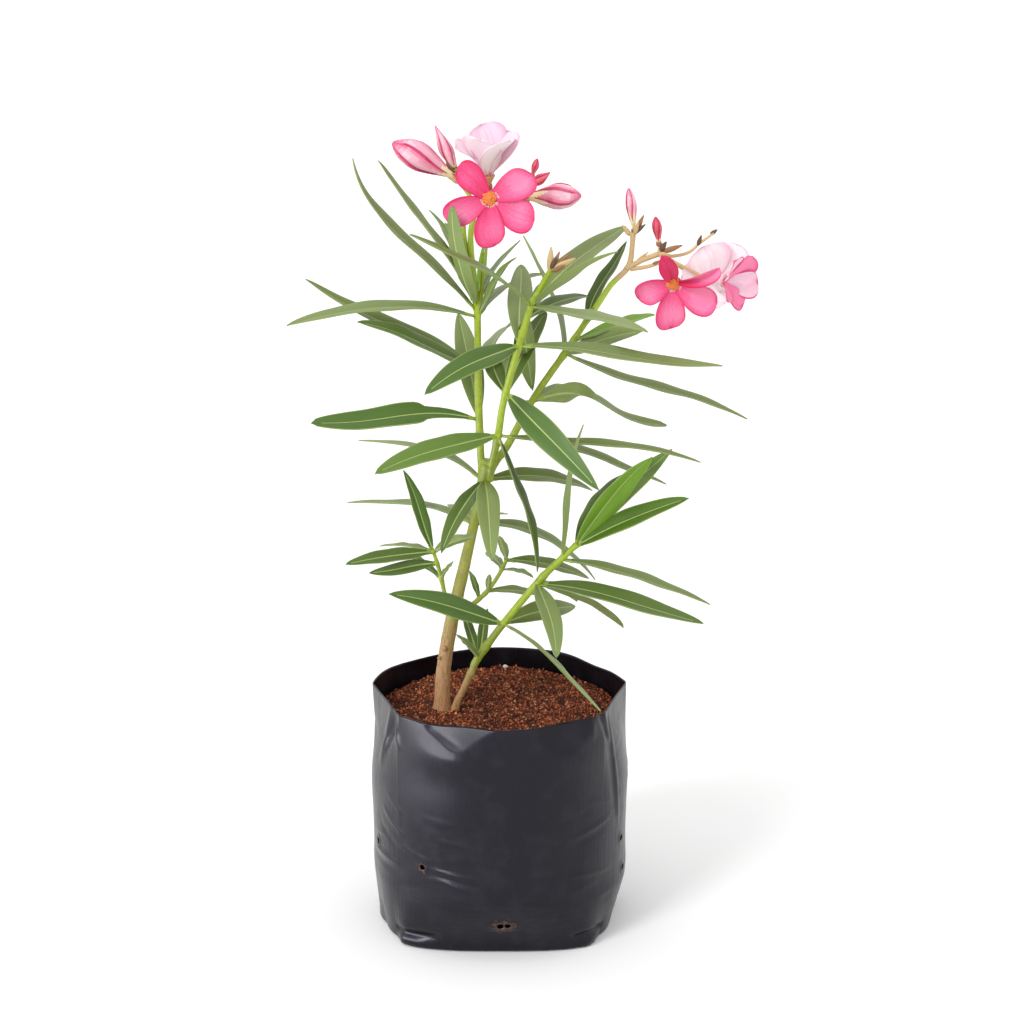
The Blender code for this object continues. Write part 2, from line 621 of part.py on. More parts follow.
def main():
    clear_scene()
    plant = new_collection("potted_oleander")
    cutters = new_collection("cutters")
    finishes = {name: material(name) for name in COLOURS}

    grow_bag(plant, cutters).data.materials.append(finishes["bag"])
    potting_mix(plant).data.materials.append(finishes["mix"])

    limbs = grow_limbs(finishes)
    blossom = grow_blossom(finishes)
    foliage = grow_foliage(finishes, limbs, blossom)
    clearance = new_cutter("trunk_clearance", limb(TRUNK, resolution=3, swell=GAP * TRUNK_CLEARANCE), cutters)
    for mass in (*limbs, *blossom, *foliage.values()):
        join_mass(mass, plant, clearance if mass.name in ROUND_THE_TRUNK else None)
    bpy.data.objects.remove(clearance)

    stand = bpy.data.objects.new("potted_oleander", None)
    plant.objects.link(stand)
    for thing in plant.objects:
        if thing is not stand:
            thing.parent = stand
            thing.data.shade_smooth()
            thing.data.set_sharp_from_angle(angle=SHARP_ANGLE)


main()
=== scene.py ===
# Potted oleander in a nursery grow bag: the finished meshes and materials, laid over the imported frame.
# Lengths in the dictionaries are millimetres and angles degrees. A level is a height above the ground,
# a heading of 0 is +X and 90 is +Y, and the front is -Y.
import math
import random

import bmesh
import bpy
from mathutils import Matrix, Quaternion, Vector, noise
from mathutils.kdtree import KDTree


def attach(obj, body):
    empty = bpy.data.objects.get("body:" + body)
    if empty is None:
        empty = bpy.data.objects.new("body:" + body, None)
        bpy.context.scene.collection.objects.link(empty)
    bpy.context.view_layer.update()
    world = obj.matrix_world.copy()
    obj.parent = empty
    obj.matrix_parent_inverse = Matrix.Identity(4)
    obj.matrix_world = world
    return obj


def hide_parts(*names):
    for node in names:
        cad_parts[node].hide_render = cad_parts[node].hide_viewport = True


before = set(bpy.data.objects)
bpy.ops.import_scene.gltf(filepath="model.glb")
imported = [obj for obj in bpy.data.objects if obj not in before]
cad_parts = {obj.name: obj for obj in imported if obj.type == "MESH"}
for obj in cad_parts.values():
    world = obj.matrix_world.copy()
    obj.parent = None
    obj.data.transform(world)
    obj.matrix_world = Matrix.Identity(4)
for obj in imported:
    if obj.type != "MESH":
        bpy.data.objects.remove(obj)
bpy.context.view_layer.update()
scene = bpy.context.scene
mm = 0.001
up = Vector((0, 0, 1))


# Shared helpers: colours, nodes, objects and curves.

def tint(red, green, blue):
    # an 8-bit colour as the shader's linear one
    shares = (channel / 255 for channel in (red, green, blue))
    return tuple(c / 12.92 if c < 0.04045 else ((c + 0.055) / 1.055) ** 2.4 for c in shares)


def newFinish(name, colour, roughness, sockets=None):
    finish = bpy.data.materials.new(name)
    finish.use_nodes = True
    values = {"Base Color": (*tint(*colour), 1), "Roughness": roughness, **(sockets or {})}
    for socket, value in values.items():
        finish.node_tree.nodes["Principled BSDF"].inputs[socket].default_value = value
    return finish


def addNode(owner, kind, inputs, **settings):
    # a node in a finish or a node group, whose inputs are values or other nodes' outputs
    tree = getattr(owner, "node_tree", owner)
    node = tree.nodes.new(kind)
    for name, value in settings.items():
        setattr(node, name, value)
    for name, value in inputs.items():
        if isinstance(value, bpy.types.NodeSocket):
            tree.links.new(value, node.inputs[name])
        else:
            node.inputs[name].default_value = value
    return node


def calculate(finish, operation, *values, clamp=False):
    return addNode(finish, "ShaderNodeMath", dict(enumerate(values)), operation=operation,
                   use_clamp=clamp).outputs["Value"]


def addNoise(finish, vector, scale, detail=3):
    inputs = {"Vector": vector, "Scale": scale, "Detail": detail}
    return addNode(finish, "ShaderNodeTexNoise", inputs).outputs["Fac"]


def addRamp(finish, factor, stops):
    # a colour ramp through (position, colour) stops
    ramp = addNode(finish, "ShaderNodeValToRGB", {"Fac": factor})
    elements = ramp.color_ramp.elements
    while len(elements) < len(stops):
        elements.new(0.5)
    for element, (position, colour) in zip(elements, stops):
        element.position = position
        element.color = (*tint(*colour), 1)
    return ramp.outputs["Color"]


def mixColours(finish, factor, first, second, blend="MIX"):
    # either colour may be an 8-bit one or another node's output; a Mix node's colours are inputs 6 and 7
    colours = [colour if isinstance(colour, bpy.types.NodeSocket) else (*tint(*colour), 1)
               for colour in (first, second)]
    inputs = {"Factor": factor, 6: colours[0], 7: colours[1]}
    return addNode(finish, "ShaderNodeMix", inputs, data_type="RGBA", blend_type=blend).outputs[2]


def spread(finish, value, low, high, fromLow=0.0, fromHigh=1.0):
    # a value moved from one range to another and kept inside it
    node = addNode(finish, "ShaderNodeMapRange", {"Value": value, "From Min": fromLow, "From Max": fromHigh,
                                                  "To Min": low, "To Max": high})
    return node.outputs["Result"]


def plug(finish, socket, output):
    shader = finish.node_tree.nodes["Principled BSDF"]
    finish.node_tree.links.new(output, shader.inputs[socket])


def plugBump(finish, height, strength, distance):
    # distance is in millimetres
    inputs = {"Height": height, "Strength": strength, "Distance": distance * mm}
    plug(finish, "Normal", addNode(finish, "ShaderNodeBump", inputs).outputs["Normal"])


def objectPlace(finish, stretch=(1, 1, 1)):
    # Object coordinates in millimetres, stretched where a grain runs one way
    place = addNode(finish, "ShaderNodeTexCoord", {}).outputs["Object"]
    scale = tuple(share / mm for share in stretch)
    return addNode(finish, "ShaderNodeMapping", {"Vector": place, "Scale": scale}).outputs["Vector"]


def bladeUv(finish):
    # U runs across a leaf or petal and V from its foot to its tip
    return addNode(finish, "ShaderNodeUVMap", {}, uv_map="blade").outputs["UV"]


def meshFrom(bm, name, finishes=()):
    mesh = bpy.data.meshes.new(name)
    bm.to_mesh(mesh)
    bm.free()
    for finish in finishes:
        mesh.materials.append(finish)
    return mesh


def newPiece(name, mesh, slot, *nodes):
    piece = bpy.data.objects.new(name, mesh)
    scene.collection.objects.link(piece)
    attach(piece, "root")
    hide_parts(*nodes)
    return piece


def helperObject(name, mesh):
    helper = bpy.data.objects.new(name, mesh)
    scene.collection.objects.link(helper)
    return helper


def thicken(piece, thickness, offset):
    wall = piece.modifiers.new("Thickness", "SOLIDIFY")
    wall.thickness = thickness * mm
    wall.offset = offset
    return wall


def appliedMesh(thing):
    # the object's mesh with its modifiers applied
    graph = bpy.context.evaluated_depsgraph_get()
    return bpy.data.meshes.new_from_object(thing.evaluated_get(graph))


def between(table, place):
    # straight-line reading of a table of (place, value) pairs
    for (low, first), (high, second) in zip(table, table[1:]):
        if place <= high:
            share = max(0, (place - low) / (high - low))
            return first + (second - first) * share
    return table[-1][1]


def smoothPath(path, steps):
    # a Catmull-Rom curve through the path's (x, y, z, radius) points, in metres
    knots = [Vector(knot) for knot in path]
    knots = [knots[0] * 2 - knots[1], *knots, knots[-1] * 2 - knots[-2]]
    curve = []
    for before, start, end, after in zip(knots, knots[1:], knots[2:], knots[3:]):
        for step in range(steps):
            t = step / steps
            curve.append(0.5 * (2 * start + (end - before) * t
                                + (2 * before - 5 * start + 4 * end - after) * t * t
                                + (3 * start - before - 3 * end + after) * t ** 3))
    curve.append(knots[-2])
    return [point * mm for point in curve]


def pointAt(path, level):
    # the point of a rising path at a level in metres, and its radius there
    curve = smoothPath(path, 8)
    for low, high in zip(curve, curve[1:]):
        if low.z <= level <= high.z:
            point = low.lerp(high, (level - low.z) / (high.z - low.z))
            return point.xyz, point.w
    return curve[-1].xyz, curve[-1].w


def direction(heading, rise):
    heading, rise = math.radians(heading), math.radians(rise)
    return Vector((math.cos(rise) * math.cos(heading), math.cos(rise) * math.sin(heading), math.sin(rise)))


def facesOf(verts):
    return {face for vert in verts for face in vert.link_faces}


def newSheet(bm, columns, rows):
    # a flat grid from -1 to 1 whose blade UV runs from 0 to 1
    return bmesh.ops.create_grid(bm, x_segments=columns, y_segments=rows, size=1, calc_uvs=True)["verts"]


def facePlaces(bm, verts):
    # the faces of a sheet, each with the middle of its blade UV
    uvLayer = bm.loops.layers.uv["blade"]
    for face in facesOf(verts):
        yield face, sum((loop[uvLayer].uv for loop in face.loops), Vector((0, 0))) / len(face.loops)


def newRingMesh():
    # the float layer keeps each point's angle round a ring while the ring is extruded
    bm = bmesh.new()
    return bm, bm.verts.layers.float.new("spoke")


def addRing(bm, sides):
    # a closed ring of one face: its points, each with its angle, and its edges
    spoke = bm.verts.layers.float["spoke"]
    ring = bmesh.ops.create_circle(bm, cap_ends=True, segments=sides, radius=1)["verts"]
    for vert in ring:
        vert[spoke] = math.atan2(vert.co.y, vert.co.x)
    return ring, list({edge for vert in ring for edge in vert.link_edges})


def growRing(bm, edges):
    # extrude a ring's edges: the new points, edges and faces
    grown = bmesh.ops.extrude_edge_only(bm, edges=edges)["geom"]
    kinds = (bmesh.types.BMVert, bmesh.types.BMEdge, bmesh.types.BMFace)
    return ([part for part in grown if isinstance(part, kind)] for kind in kinds)


def ringMesh(bm, name, finishes=()):
    # extrusion makes points, edges and faces in an order that changes from run to run, so they are sorted
    bmesh.ops.recalc_face_normals(bm, faces=bm.faces)
    for number, vert in enumerate(sorted(bm.verts, key=lambda vert: vert.co[:])):
        vert.index = number
    bm.verts.sort()
    for parts in (bm.edges, bm.faces):
        order = sorted(parts, key=lambda part: sorted(vert.index for vert in part.verts))
        for number, part in enumerate(order):
            part.index = number
        parts.sort()
    return meshFrom(bm, name, finishes)


def sweep(bm, curve, sides, finish=0, shape=None):
    # a closed tube through (x, y, z, radius) points that doesn't twist; shape(share, spoke) scales its radius
    spoke = bm.verts.layers.float["spoke"]
    ring, edges = addRing(bm, sides)
    faces = set(ring[0].link_faces)
    tangents = [(after - before).xyz.normalized()
                for before, after in zip([curve[0], *curve[:-1]], [*curve[1:], curve[-1]])]
    turn = up.rotation_difference(tangents[0])
    for number, point in enumerate(curve):
        if number:
            turn = tangents[number - 1].rotation_difference(tangents[number]) @ turn
            ring, edges, grown = growRing(bm, edges)
            faces.update(grown)
        share = number / (len(curve) - 1)
        for vert in ring:
            radius = point.w * (shape(share, vert[spoke]) if shape else 1)
            vert.co = point.xyz + turn @ Vector((math.cos(vert[spoke]), math.sin(vert[spoke]), 0)) * radius
    faces.update(bmesh.ops.holes_fill(bm, edges=edges, sides=0)["faces"])
    for face in faces:
        face.material_index = finish
        face.smooth = True


# The grow bag: black polythene film, squarish at its flat foot and round above it.

bag = {
    "height": 139, "wall": 0.5, "sides": 340, "rings": 118,
    "footHalfWidth": 71, "footHalfDepth": 59, "footSquareness": 3.2, "footEdge": 2.5,
    "tubeRadius": 74, "shoulder": 40,
    # stretches of the rim that run straight between two headings, and how far down they fade out
    "flats": ((174, 220, 1.0), (-37, 7, 1.0), (9, 62, 0.55), (104, 150, 0.4)), "flatDepth": 52,
    "rimWave": 1.1, "rimWaveScale": 26, "swell": 1.0, "swellScale": 34,
    # bulges: heading, level, half width, half height, how far out
    "swells": ((-107, 120.5, 20, 9.5, 3.0), (-60, 116, 24, 14, 0.8)),
    # flat facets that lean in: facing, lean, the heading and level of their foot, its bulge, and their limits
    "facets": ((-109, 24, -108, 124.5, 2.6, -128, -86), (-60, 13, -60, 121, 0.5, -82, -42),
               (128, 12, 128, 122, 0.0, 108, 148)), "facetsAbove": 90, "facetFade": 7,
    # folded corners of the foot: heading, half width, start level, depth at the floor
    "corners": ((-156, 26, 34, 4.5), (-19, 38, 30, 6.5), (38, 30, 30, 4.0), (140, 30, 30, 4.0)),
    # sharp and soft creases: start and end (heading, level), how far out, and their half width
    "creases": (
        (-141, 133, -139, 58, 0.28, 0.9), (-137, 133, -136, 60, -0.15, 2.4),
        (-87, 130, -82, 36, 0.3, 1.0), (-84, 124, -79, 50, -0.3, 3.0),
        (-29, 139, -23, 62, 0.6, 1.2), (-33, 138, -27, 70, -0.5, 3.0),
        (-147, 147, -140, 118, 1.1, 2.0), (-143, 141, -156, 112, -1.8, 4.0), (-152, 140, -160, 100, 0.9, 3.0),
        (-128, 141, -114, 128, -0.12, 1.4), (-121, 138, -106, 127, 0.1, 1.2),
        (-41, 142, -33, 122, -1.4, 2.0), (-37, 141, -30, 118, 0.9, 1.6), (-48, 141, -44, 126, 0.7, 3.0),
        (-168, 50, -139, 50, 0.8, 1.3), (-171, 44, -137, 45, -0.7, 2.0), (-166, 60, -146, 64, 0.5, 1.6),
        (-155, 80, -135, 67, 0.5, 1.5), (-160, 70, -140, 58, -0.4, 2.0), (-150, 90, -136, 80, 0.3, 1.6),
        (-124, 53, -97, 49, 0.75, 1.0), (-122, 50, -98, 45.5, -0.6, 1.8), (-119, 71, -98, 68, 0.3, 1.5),
        (-116, 47, -100, 42, 0.35, 1.4), (-140, 62, -120, 56, 0.4, 1.6),
        (-57, 70, -30, 76, 0.5, 1.4), (-60, 66, -36, 70, -0.4, 2.2), (-60, 48, -31, 44, 0.5, 1.4),
        (-66, 38, -40, 40, 0.4, 1.8), (-50, 90, -28, 84, 0.35, 1.6), (-62, 82, -45, 84, -0.3, 1.8),
        (-112, 36, -94, 34, 0.35, 2.0), (-80, 34, -60, 30, 0.35, 2.0),
        (-145, 8, -107, 9, -2.3, 2.2), (-138, 4, -112, 3.5, 0.8, 2.8), (-66, 8, -33, 9, -2.5, 1.7),
        (-60, 4, -38, 4, 0.8, 2.6), (34, 8, 66, 9, -3.0, 1.7), (112, 9, 146, 8, -3.0, 1.7),
        (38, 4, 60, 4, 1.2, 2.6), (118, 4, 142, 4, 1.2, 2.6),
    ),
    # how many half widths a crease reaches, and the shares of its length that it starts and ends at
    "creaseReach": 2.5, "creaseEnds": (-0.2, 1.2),
    # faint wrinkles all round: how many, and the range each one's measure is drawn from
    "loose": {"count": 46, "level": (24, 122), "length": (10, 26), "slope": (-0.35, 0.35),
              "deep": (0.08, 0.28), "wide": (1.2, 2.6), "seed": 26},
    # drain holes: heading, level, radius, reach of the soil stain round each
    "drains": ((-161, 54, 1.9, 1.4), (-126, 52.5, 1.6, 1.6), (-89.92, 19.3, 1.9, 3.6),
               (-88.43, 19.6, 1.7, 3.6), (-19, 56, 1.9, 1.2), (-17, 37, 1.8, 1.2), (19, 52, 1.9, 1.4),
               (54, 54, 1.8, 1.4), (92, 22, 2.0, 3.0), (152, 52, 1.9, 1.4)),
    "drainLip": 0.5, "drainLipRadius": 2.9, "drillDepth": 16, "drillSides": 14, "drillRagged": 0.16,
    "drillGrain": 900,  # bumps to a metre
    # the pale mottle colour is partly dust and partly a painted sheen standing in for the film's mottled
    # reflections
    "film": (13, 12, 17), "dustAndSheen": (52, 50, 58), "soil": (84, 60, 48), "gloss": (226, 218, 255),
    "dustAndSheenShare": 0.2, "stainShare": 0.7,
    "roughness": 0.42, "dustyRoughness": (0.36, 0.5), "coat": (0.3, 0.18), "specular": 0.16,
    "ruffleFade": (40, 105),  # the levels between which the film's fine ruffles fade out
}
filmDegree = math.radians(bag["tubeRadius"])  # millimetres round the wall for a degree of heading


def smoothStep(share):
    share = min(max(share, 0), 1)
    return share * share * (3 - 2 * share)


def turnFrom(heading, centre):
    # degrees from one heading to another, from -180 to 180
    return (heading - centre + 180) % 360 - 180


def bagWall(level, angle, inset):
    # the plain bag that the source builds, without its creases
    ease = smoothStep(level / bag["shoulder"])
    width = bag["footHalfWidth"] + (bag["tubeRadius"] - bag["footHalfWidth"]) * ease
    depth = bag["footHalfDepth"] + (bag["tubeRadius"] - bag["footHalfDepth"]) * ease
    power = 2 / (bag["footSquareness"] + (2 - bag["footSquareness"]) * ease)
    across, along = math.cos(angle), math.sin(angle)
    return Vector((math.copysign(abs(across) ** power, across) * (width - inset),
                   math.copysign(abs(along) ** power, along) * (depth - inset), level))


def allCreases():
    # the set creases, then faint wrinkles all round that lie near level
    loose = bag["loose"]
    dice = random.Random(loose["seed"])
    creases = list(bag["creases"])
    for _ in range(loose["count"]):
        heading, level = dice.uniform(-180, 180), dice.uniform(*loose["level"])
        length, slope = dice.uniform(*loose["length"]), dice.uniform(*loose["slope"])
        deep = dice.choice((-1, 1)) * dice.uniform(*loose["deep"])
        end = (heading + length, level + slope * length)
        creases.append((heading, level, *end, deep, dice.uniform(*loose["wide"])))
    return creases


def creaseHeight(heading, level, creases):
    # how far the creases lift the film at a heading and level, measured on the unrolled wall
    total = 0
    first, last = bag["creaseEnds"]
    for start, startLevel, end, endLevel, deep, wide in creases:
        run, climb = (end - start) * filmDegree, endLevel - startLevel
        across, rise = turnFrom(heading, start) * filmDegree, level - startLevel
        share = (across * run + rise * climb) / (run * run + climb * climb)
        if first < share < last:
            share = min(max(share, 0), 1)
            gap = math.hypot(across - run * share, rise - climb * share) / wide
            if gap < bag["creaseReach"]:
                total += deep * math.exp(-gap * gap) * (1 - abs(2 * share - 1) ** 3)
    return total


def bagFilm(level, angle, creases, inset=0):
    # a point of the finished film, drawn in by the inset
    heading = math.degrees(angle)
    inset += bag["footEdge"] if level == 0 else 0
    fade = smoothStep((level - bag["height"] + bag["flatDepth"]) / bag["flatDepth"])
    for start, end, share in bag["flats"]:
        half = math.radians(end - start) / 2
        off = math.radians(turnFrom(heading, (start + end) / 2))
        if abs(off) < half:
            inset += bag["tubeRadius"] * (1 - math.cos(half) / math.cos(off)) * share * fade
    for centre, middle, across, tall, out in bag["swells"]:
        off = turnFrom(heading, centre) * filmDegree
        inset -= out * math.exp(-(off / across) ** 2 - ((level - middle) / tall) ** 2)
    for facing, lean, footHeading, footLevel, out, first, last in bag["facets"]:
        off = turnFrom(heading, facing)
        if level > bag["facetsAbove"] and first - facing < off < last - facing:
            plane, spot = direction(facing, lean), bagWall(level, angle, inset)
            foot = bagWall(footLevel, math.radians(footHeading), -out)
            over = max(0, plane.dot(spot - foot)) / plane.dot(spot.xy.to_3d().normalized())
            inset += (over * smoothStep((off + facing - first) / bag["facetFade"])
                      * smoothStep((last - off - facing) / bag["facetFade"]))
    for centre, half, start, deep in bag["corners"]:
        off = abs(turnFrom(heading, centre)) / half
        inset += deep * max(0, 1 - level / start) * smoothStep(1.6 - 1.6 * off)
    inset -= creaseHeight(heading, level, creases)
    for drainHeading, drainLevel, *_ in bag["drains"]:
        across = turnFrom(heading, drainHeading) * filmDegree
        gap = math.hypot(across, level - drainLevel) - bag["drainLipRadius"]
        inset -= bag["drainLip"] * math.exp(-gap * gap)
    point = bagWall(level, angle, inset)
    loose = smoothStep(level / bag["shoulder"])
    point += point.xy.to_3d().normalized() * noise.noise(point / bag["swellScale"]) * bag["swell"] * loose
    wave = noise.noise(point.xy.to_3d() / bag["rimWaveScale"]) * bag["rimWave"]
    point.z += wave * smoothStep(level / bag["height"] * 2 - 1)
    return point * mm


def filmFinish():
    # dull black film with a fine stretch grain, soil stains round its holes, and a pale mottle that is partly
    # dust and partly painted sheen
    weight, polish = bag["coat"]
    film = newFinish("polythene", bag["film"], bag["roughness"],
                     {"Specular IOR Level": bag["specular"], "Specular Tint": (*tint(*bag["gloss"]), 1),
                      "Coat Weight": weight, "Coat Roughness": polish})
    place = objectPlace(film)
    # a pale bluish mottle, partly dust and partly painted sheen; it also sets the film's roughness
    dustAndSheen = spread(film, addNoise(film, place, 0.09, 6), 0, 1, 0.5, 0.75)
    colour = mixColours(film, spread(film, dustAndSheen, 0.0, bag["dustAndSheenShare"]), bag["film"], bag["dustAndSheen"])
    torn = spread(film, addNoise(film, place, 0.55, 4), -2.2, 2.2, 0.3, 0.7)
    for heading, level, radius, reach in bag["drains"]:
        centre = bagWall(level, math.radians(heading), 0)
        gap = addNode(film, "ShaderNodeVectorMath", {0: place, 1: centre}, operation="DISTANCE")
        ragged = calculate(film, "ADD", gap.outputs["Value"], torn)
        stain = spread(film, ragged, bag["stainShare"], 0, radius + 0.3 * reach, radius + reach)
        colour = mixColours(film, stain, colour, bag["soil"])
    plug(film, "Base Color", colour)
    plug(film, "Roughness", spread(film, dustAndSheen, *bag["dustyRoughness"]))
    upright = addNoise(film, objectPlace(film, (1, 1, 0.08)), 0.5, 4)
    ruffles = addNoise(film, objectPlace(film, (0.14, 0.14, 1)), 0.34, 4)
    height = addNode(film, "ShaderNodeSeparateXYZ", {"Vector": place}).outputs["Z"]
    ruffles = calculate(film, "MULTIPLY", ruffles, spread(film, height, 1.3, 0, *bag["ruffleFade"]))
    plugBump(film, calculate(film, "ADD", upright, ruffles), 0.3, 0.6)
    return film


def makeBag():
    creases = allCreases()
    bm, spoke = newRingMesh()
    ring, edges = addRing(bm, bag["sides"])
    for number in range(bag["rings"] + 1):
        if number:
            ring, edges, _ = growRing(bm, edges)
        level = bag["height"] * number / bag["rings"]
        for vert in ring:
            vert.co = bagFilm(level, vert[spoke], creases)
    piece = newPiece("polytheneBag", ringMesh(bm, "polytheneBag", [filmFinish()]), "bag", "grow_bag")
    thicken(piece, bag["wall"], -1)

    drillMesh = bmesh.new()
    for heading, level, radius, _ in bag["drains"]:
        radius *= mm
        made = bmesh.ops.create_cone(drillMesh, cap_ends=True, segments=bag["drillSides"], radius1=radius,
                                     radius2=radius, depth=bag["drillDepth"] * mm)["verts"]
        for vert in made:
            vert.co *= 1 + bag["drillRagged"] * noise.noise(vert.co * bag["drillGrain"])
        lean = direction(heading, 0).to_track_quat("Z", "Y")
        bmesh.ops.rotate(drillMesh, verts=made, cent=(0, 0, 0), matrix=lean.to_matrix())
        bmesh.ops.translate(drillMesh, verts=made, vec=bagWall(level, math.radians(heading), 0) * mm)
    drill = helperObject("drill", meshFrom(drillMesh, "drill"))
    drains = piece.modifiers.new("Drains", "BOOLEAN")
    drains.operation = "DIFFERENCE"
    drains.object = drill
    finished = appliedMesh(piece)
    piece.modifiers.clear()
    piece.data = finished
    finished.shade_smooth()
    bpy.data.objects.remove(drill)
    print("bag", len(finished.polygons))


# The potting mix: a closed body under a mound of coir crumbs.

mix = {
    "edgeLevel": 123, "mound": 3.5, "backRise": 3.5, "wobble": 1.3, "wobbleScale": 13,
    "sides": 200, "rings": 44, "floor": 1.5, "inset": 1.2, "deepInset": 5, "clear": 2.4,
    # the bed's dark brown is partly the coir under the crumbs and partly painted shade in the gaps between
    # them
    "levels": (6, 14, 24, 40, 80, 116), "clumps": 1.0, "clumpScale": 4.6, "bed": (84, 42, 28),
    "bedHalf": 76, "bedSteps": 110,
    # crumbs: their gap, radius and most per square metre, the range of their size, and their browns
    "crumbSpacing": 1.3, "crumbRadius": 0.78, "crumbDensity": 900000, "crumbSize": (0.5, 1.35), "seed": 11,
    "browns": ((178, 92, 56), (140, 70, 42), (204, 116, 76), (84, 40, 26), (222, 160, 118)),
    "crumbBrowns": (0, 1, 2, 0, 3, 2, 1, 0, 4, 3, 1, 2), "fibreEvery": 6,
    "pebble": (3, 57, 132.6, 1.5), "stone": (205, 200, 190),
}


def mixLevel(x, y):
    # height of the mix at a place: a low mound that rises towards the back
    share = min(math.hypot(x, y) / bag["tubeRadius"], 1)
    level = mix["edgeLevel"] + mix["mound"] * (1 - share ** 4)
    level += mix["backRise"] * smoothStep(y / bag["tubeRadius"])
    level += noise.noise(Vector((x, y, 9)) / mix["clumpScale"]) * mix["clumps"]
    return level + noise.noise(Vector((x, y, 0)) / mix["wobbleScale"]) * mix["wobble"]


def addMixTop(bm, edges, creases):
    # rings drawn from the bag's wall in to the middle of the mound
    spoke = bm.verts.layers.float["spoke"]
    for number in range(mix["rings"] + 1):
        ring, edges, _ = growRing(bm, edges)
        share = 1 - number / (mix["rings"] + 1)
        for vert in ring:
            rim = bagFilm(mix["edgeLevel"], vert[spoke], creases, mix["inset"]) / mm
            x, y = rim.x * share, rim.y * share
            vert.co = Vector((x, y, mixLevel(x, y))) * mm
    bmesh.ops.holes_fill(bm, edges=edges, sides=0)


def crumbBed(creases):
    # the top of the mix clear of the film, as a plain grid so that the scatter on it is the same each time
    bm = bmesh.new()
    steps = mix["bedSteps"]
    bmesh.ops.create_grid(bm, x_segments=steps, y_segments=steps, size=mix["bedHalf"] * mm)
    for vert in bm.verts:
        vert.co.z = mixLevel(vert.co.x / mm, vert.co.y / mm) * mm
    outside = []
    for face in bm.faces:
        spot = face.calc_center_median()
        film = bagFilm(mix["edgeLevel"], math.atan2(spot.y, spot.x), creases)
        if film.xy.length - spot.xy.length < mix["clear"] * mm:
            outside.append(face)
    bmesh.ops.delete(bm, geom=outside, context="FACES")
    return helperObject("bed", meshFrom(bm, "bed"))


def cocoFinish(name, colour):
    coco = newFinish(name, colour, 0.95, {"Specular IOR Level": 0.2})
    place = objectPlace(coco)
    grain = addNoise(coco, place, 2.2, 4)
    darker = tuple(channel * 0.6 for channel in colour)
    plain = mixColours(coco, spread(coco, grain, 0, 1, 0.35, 0.6), darker, colour)
    # broad patches at random, darker
    darkPatches = spread(coco, addNoise(coco, place, 0.1, 3), 0.6, 0, 0.4, 0.56)
    plug(coco, "Base Color", mixColours(coco, darkPatches, plain, tuple(channel * 0.55 for channel in colour)))
    plugBump(coco, grain, 0.6, 0.4)
    return coco


def makeMix():
    creases = allCreases()
    bm, spoke = newRingMesh()
    ring, edges = addRing(bm, mix["sides"])
    for number, level in enumerate((mix["floor"], *mix["levels"], mix["edgeLevel"])):
        inset = mix["deepInset"]
        if number:
            ring, edges, _ = growRing(bm, edges)
        else:
            inset += bag["footEdge"]
        if level == mix["edgeLevel"]:
            inset = mix["inset"]
        for vert in ring:
            vert.co = bagFilm(level, vert[spoke], creases, inset)
            vert.co.z = level * mm
    addMixTop(bm, edges, creases)
    # the mix body's dark brown is painted shade in the gaps between the crumbs
    body = ringMesh(bm, "pottingMix", [cocoFinish("coirBedAndGapShade", mix["bed"])])
    newPiece("pottingMix", body, "mix", "potting_mix").data.shade_smooth()
    print("mix", len(body.polygons))
    makeCrumbs(crumbBed(creases))
    makePebble()


def crumbShapes():
    # crumbs of a few faces, and now and then a coir fibre
    dice = random.Random(mix["seed"])
    finishes = [cocoFinish("coirCrumb%d" % number, brown) for number, brown in enumerate(mix["browns"])]
    group = bpy.data.collections.new("crumbs")
    for number, brown in enumerate(mix["crumbBrowns"], 1):
        bm = bmesh.new()
        bmesh.ops.create_icosphere(bm, subdivisions=1, radius=mix["crumbRadius"] * mm)
        fibre = number % mix["fibreEvery"] == 0
        long, flat = (2.0, 0.35) if fibre else (dice.uniform(0.9, 1.4), dice.uniform(0.6, 1))
        for vert in bm.verts:
            vert.co *= dice.uniform(0.75, 1.2)
            vert.co.x *= long
            vert.co.z *= flat
        group.objects.link(bpy.data.objects.new("crumb", meshFrom(bm, "crumb", [finishes[brown]])))
    return group


def makeCrumbs(bed):
    # scatter the crumbs evenly over the bed, turned and sized at random, and make them real meshes
    tree = bpy.data.node_groups.new("scatter", "GeometryNodeTree")
    tree.interface.new_socket("Geometry", in_out="INPUT", socket_type="NodeSocketGeometry")
    tree.interface.new_socket("Geometry", in_out="OUTPUT", socket_type="NodeSocketGeometry")
    source = addNode(tree, "NodeGroupInput", {})
    points = addNode(tree, "GeometryNodeDistributePointsOnFaces",
                     {"Mesh": source.outputs[0], "Distance Min": mix["crumbSpacing"] * mm,
                      "Density Max": mix["crumbDensity"], "Seed": mix["seed"]}, distribute_method="POISSON")
    anyTurn = {0: (0, 0, 0), 1: (math.tau, math.tau, math.tau), "Seed": 1}
    turn = addNode(tree, "FunctionNodeRandomValue", anyTurn, data_type="FLOAT_VECTOR")
    smallest, largest = mix["crumbSize"]
    size = addNode(tree, "FunctionNodeRandomValue", {2: smallest, 3: largest, "Seed": 2}, data_type="FLOAT")
    crumbs = addNode(tree, "GeometryNodeCollectionInfo",
                     {"Collection": crumbShapes(), "Separate Children": True, "Reset Children": True})
    placed = addNode(tree, "GeometryNodeInstanceOnPoints",
                     {"Points": points.outputs["Points"], "Instance": crumbs.outputs[0],
                      "Pick Instance": True, "Rotation": turn.outputs[0], "Scale": size.outputs[1]})
    real = addNode(tree, "GeometryNodeRealizeInstances", {"Geometry": placed.outputs[0]})
    addNode(tree, "NodeGroupOutput", {0: real.outputs[0]})
    scatter = bed.modifiers.new("Scatter", "NODES")
    scatter.node_group = tree
    crumbMesh = appliedMesh(bed)
    bpy.data.objects.remove(bed)
    newPiece("coirCrumbs", crumbMesh, "mix")
    print("crumbs", len(crumbMesh.polygons))


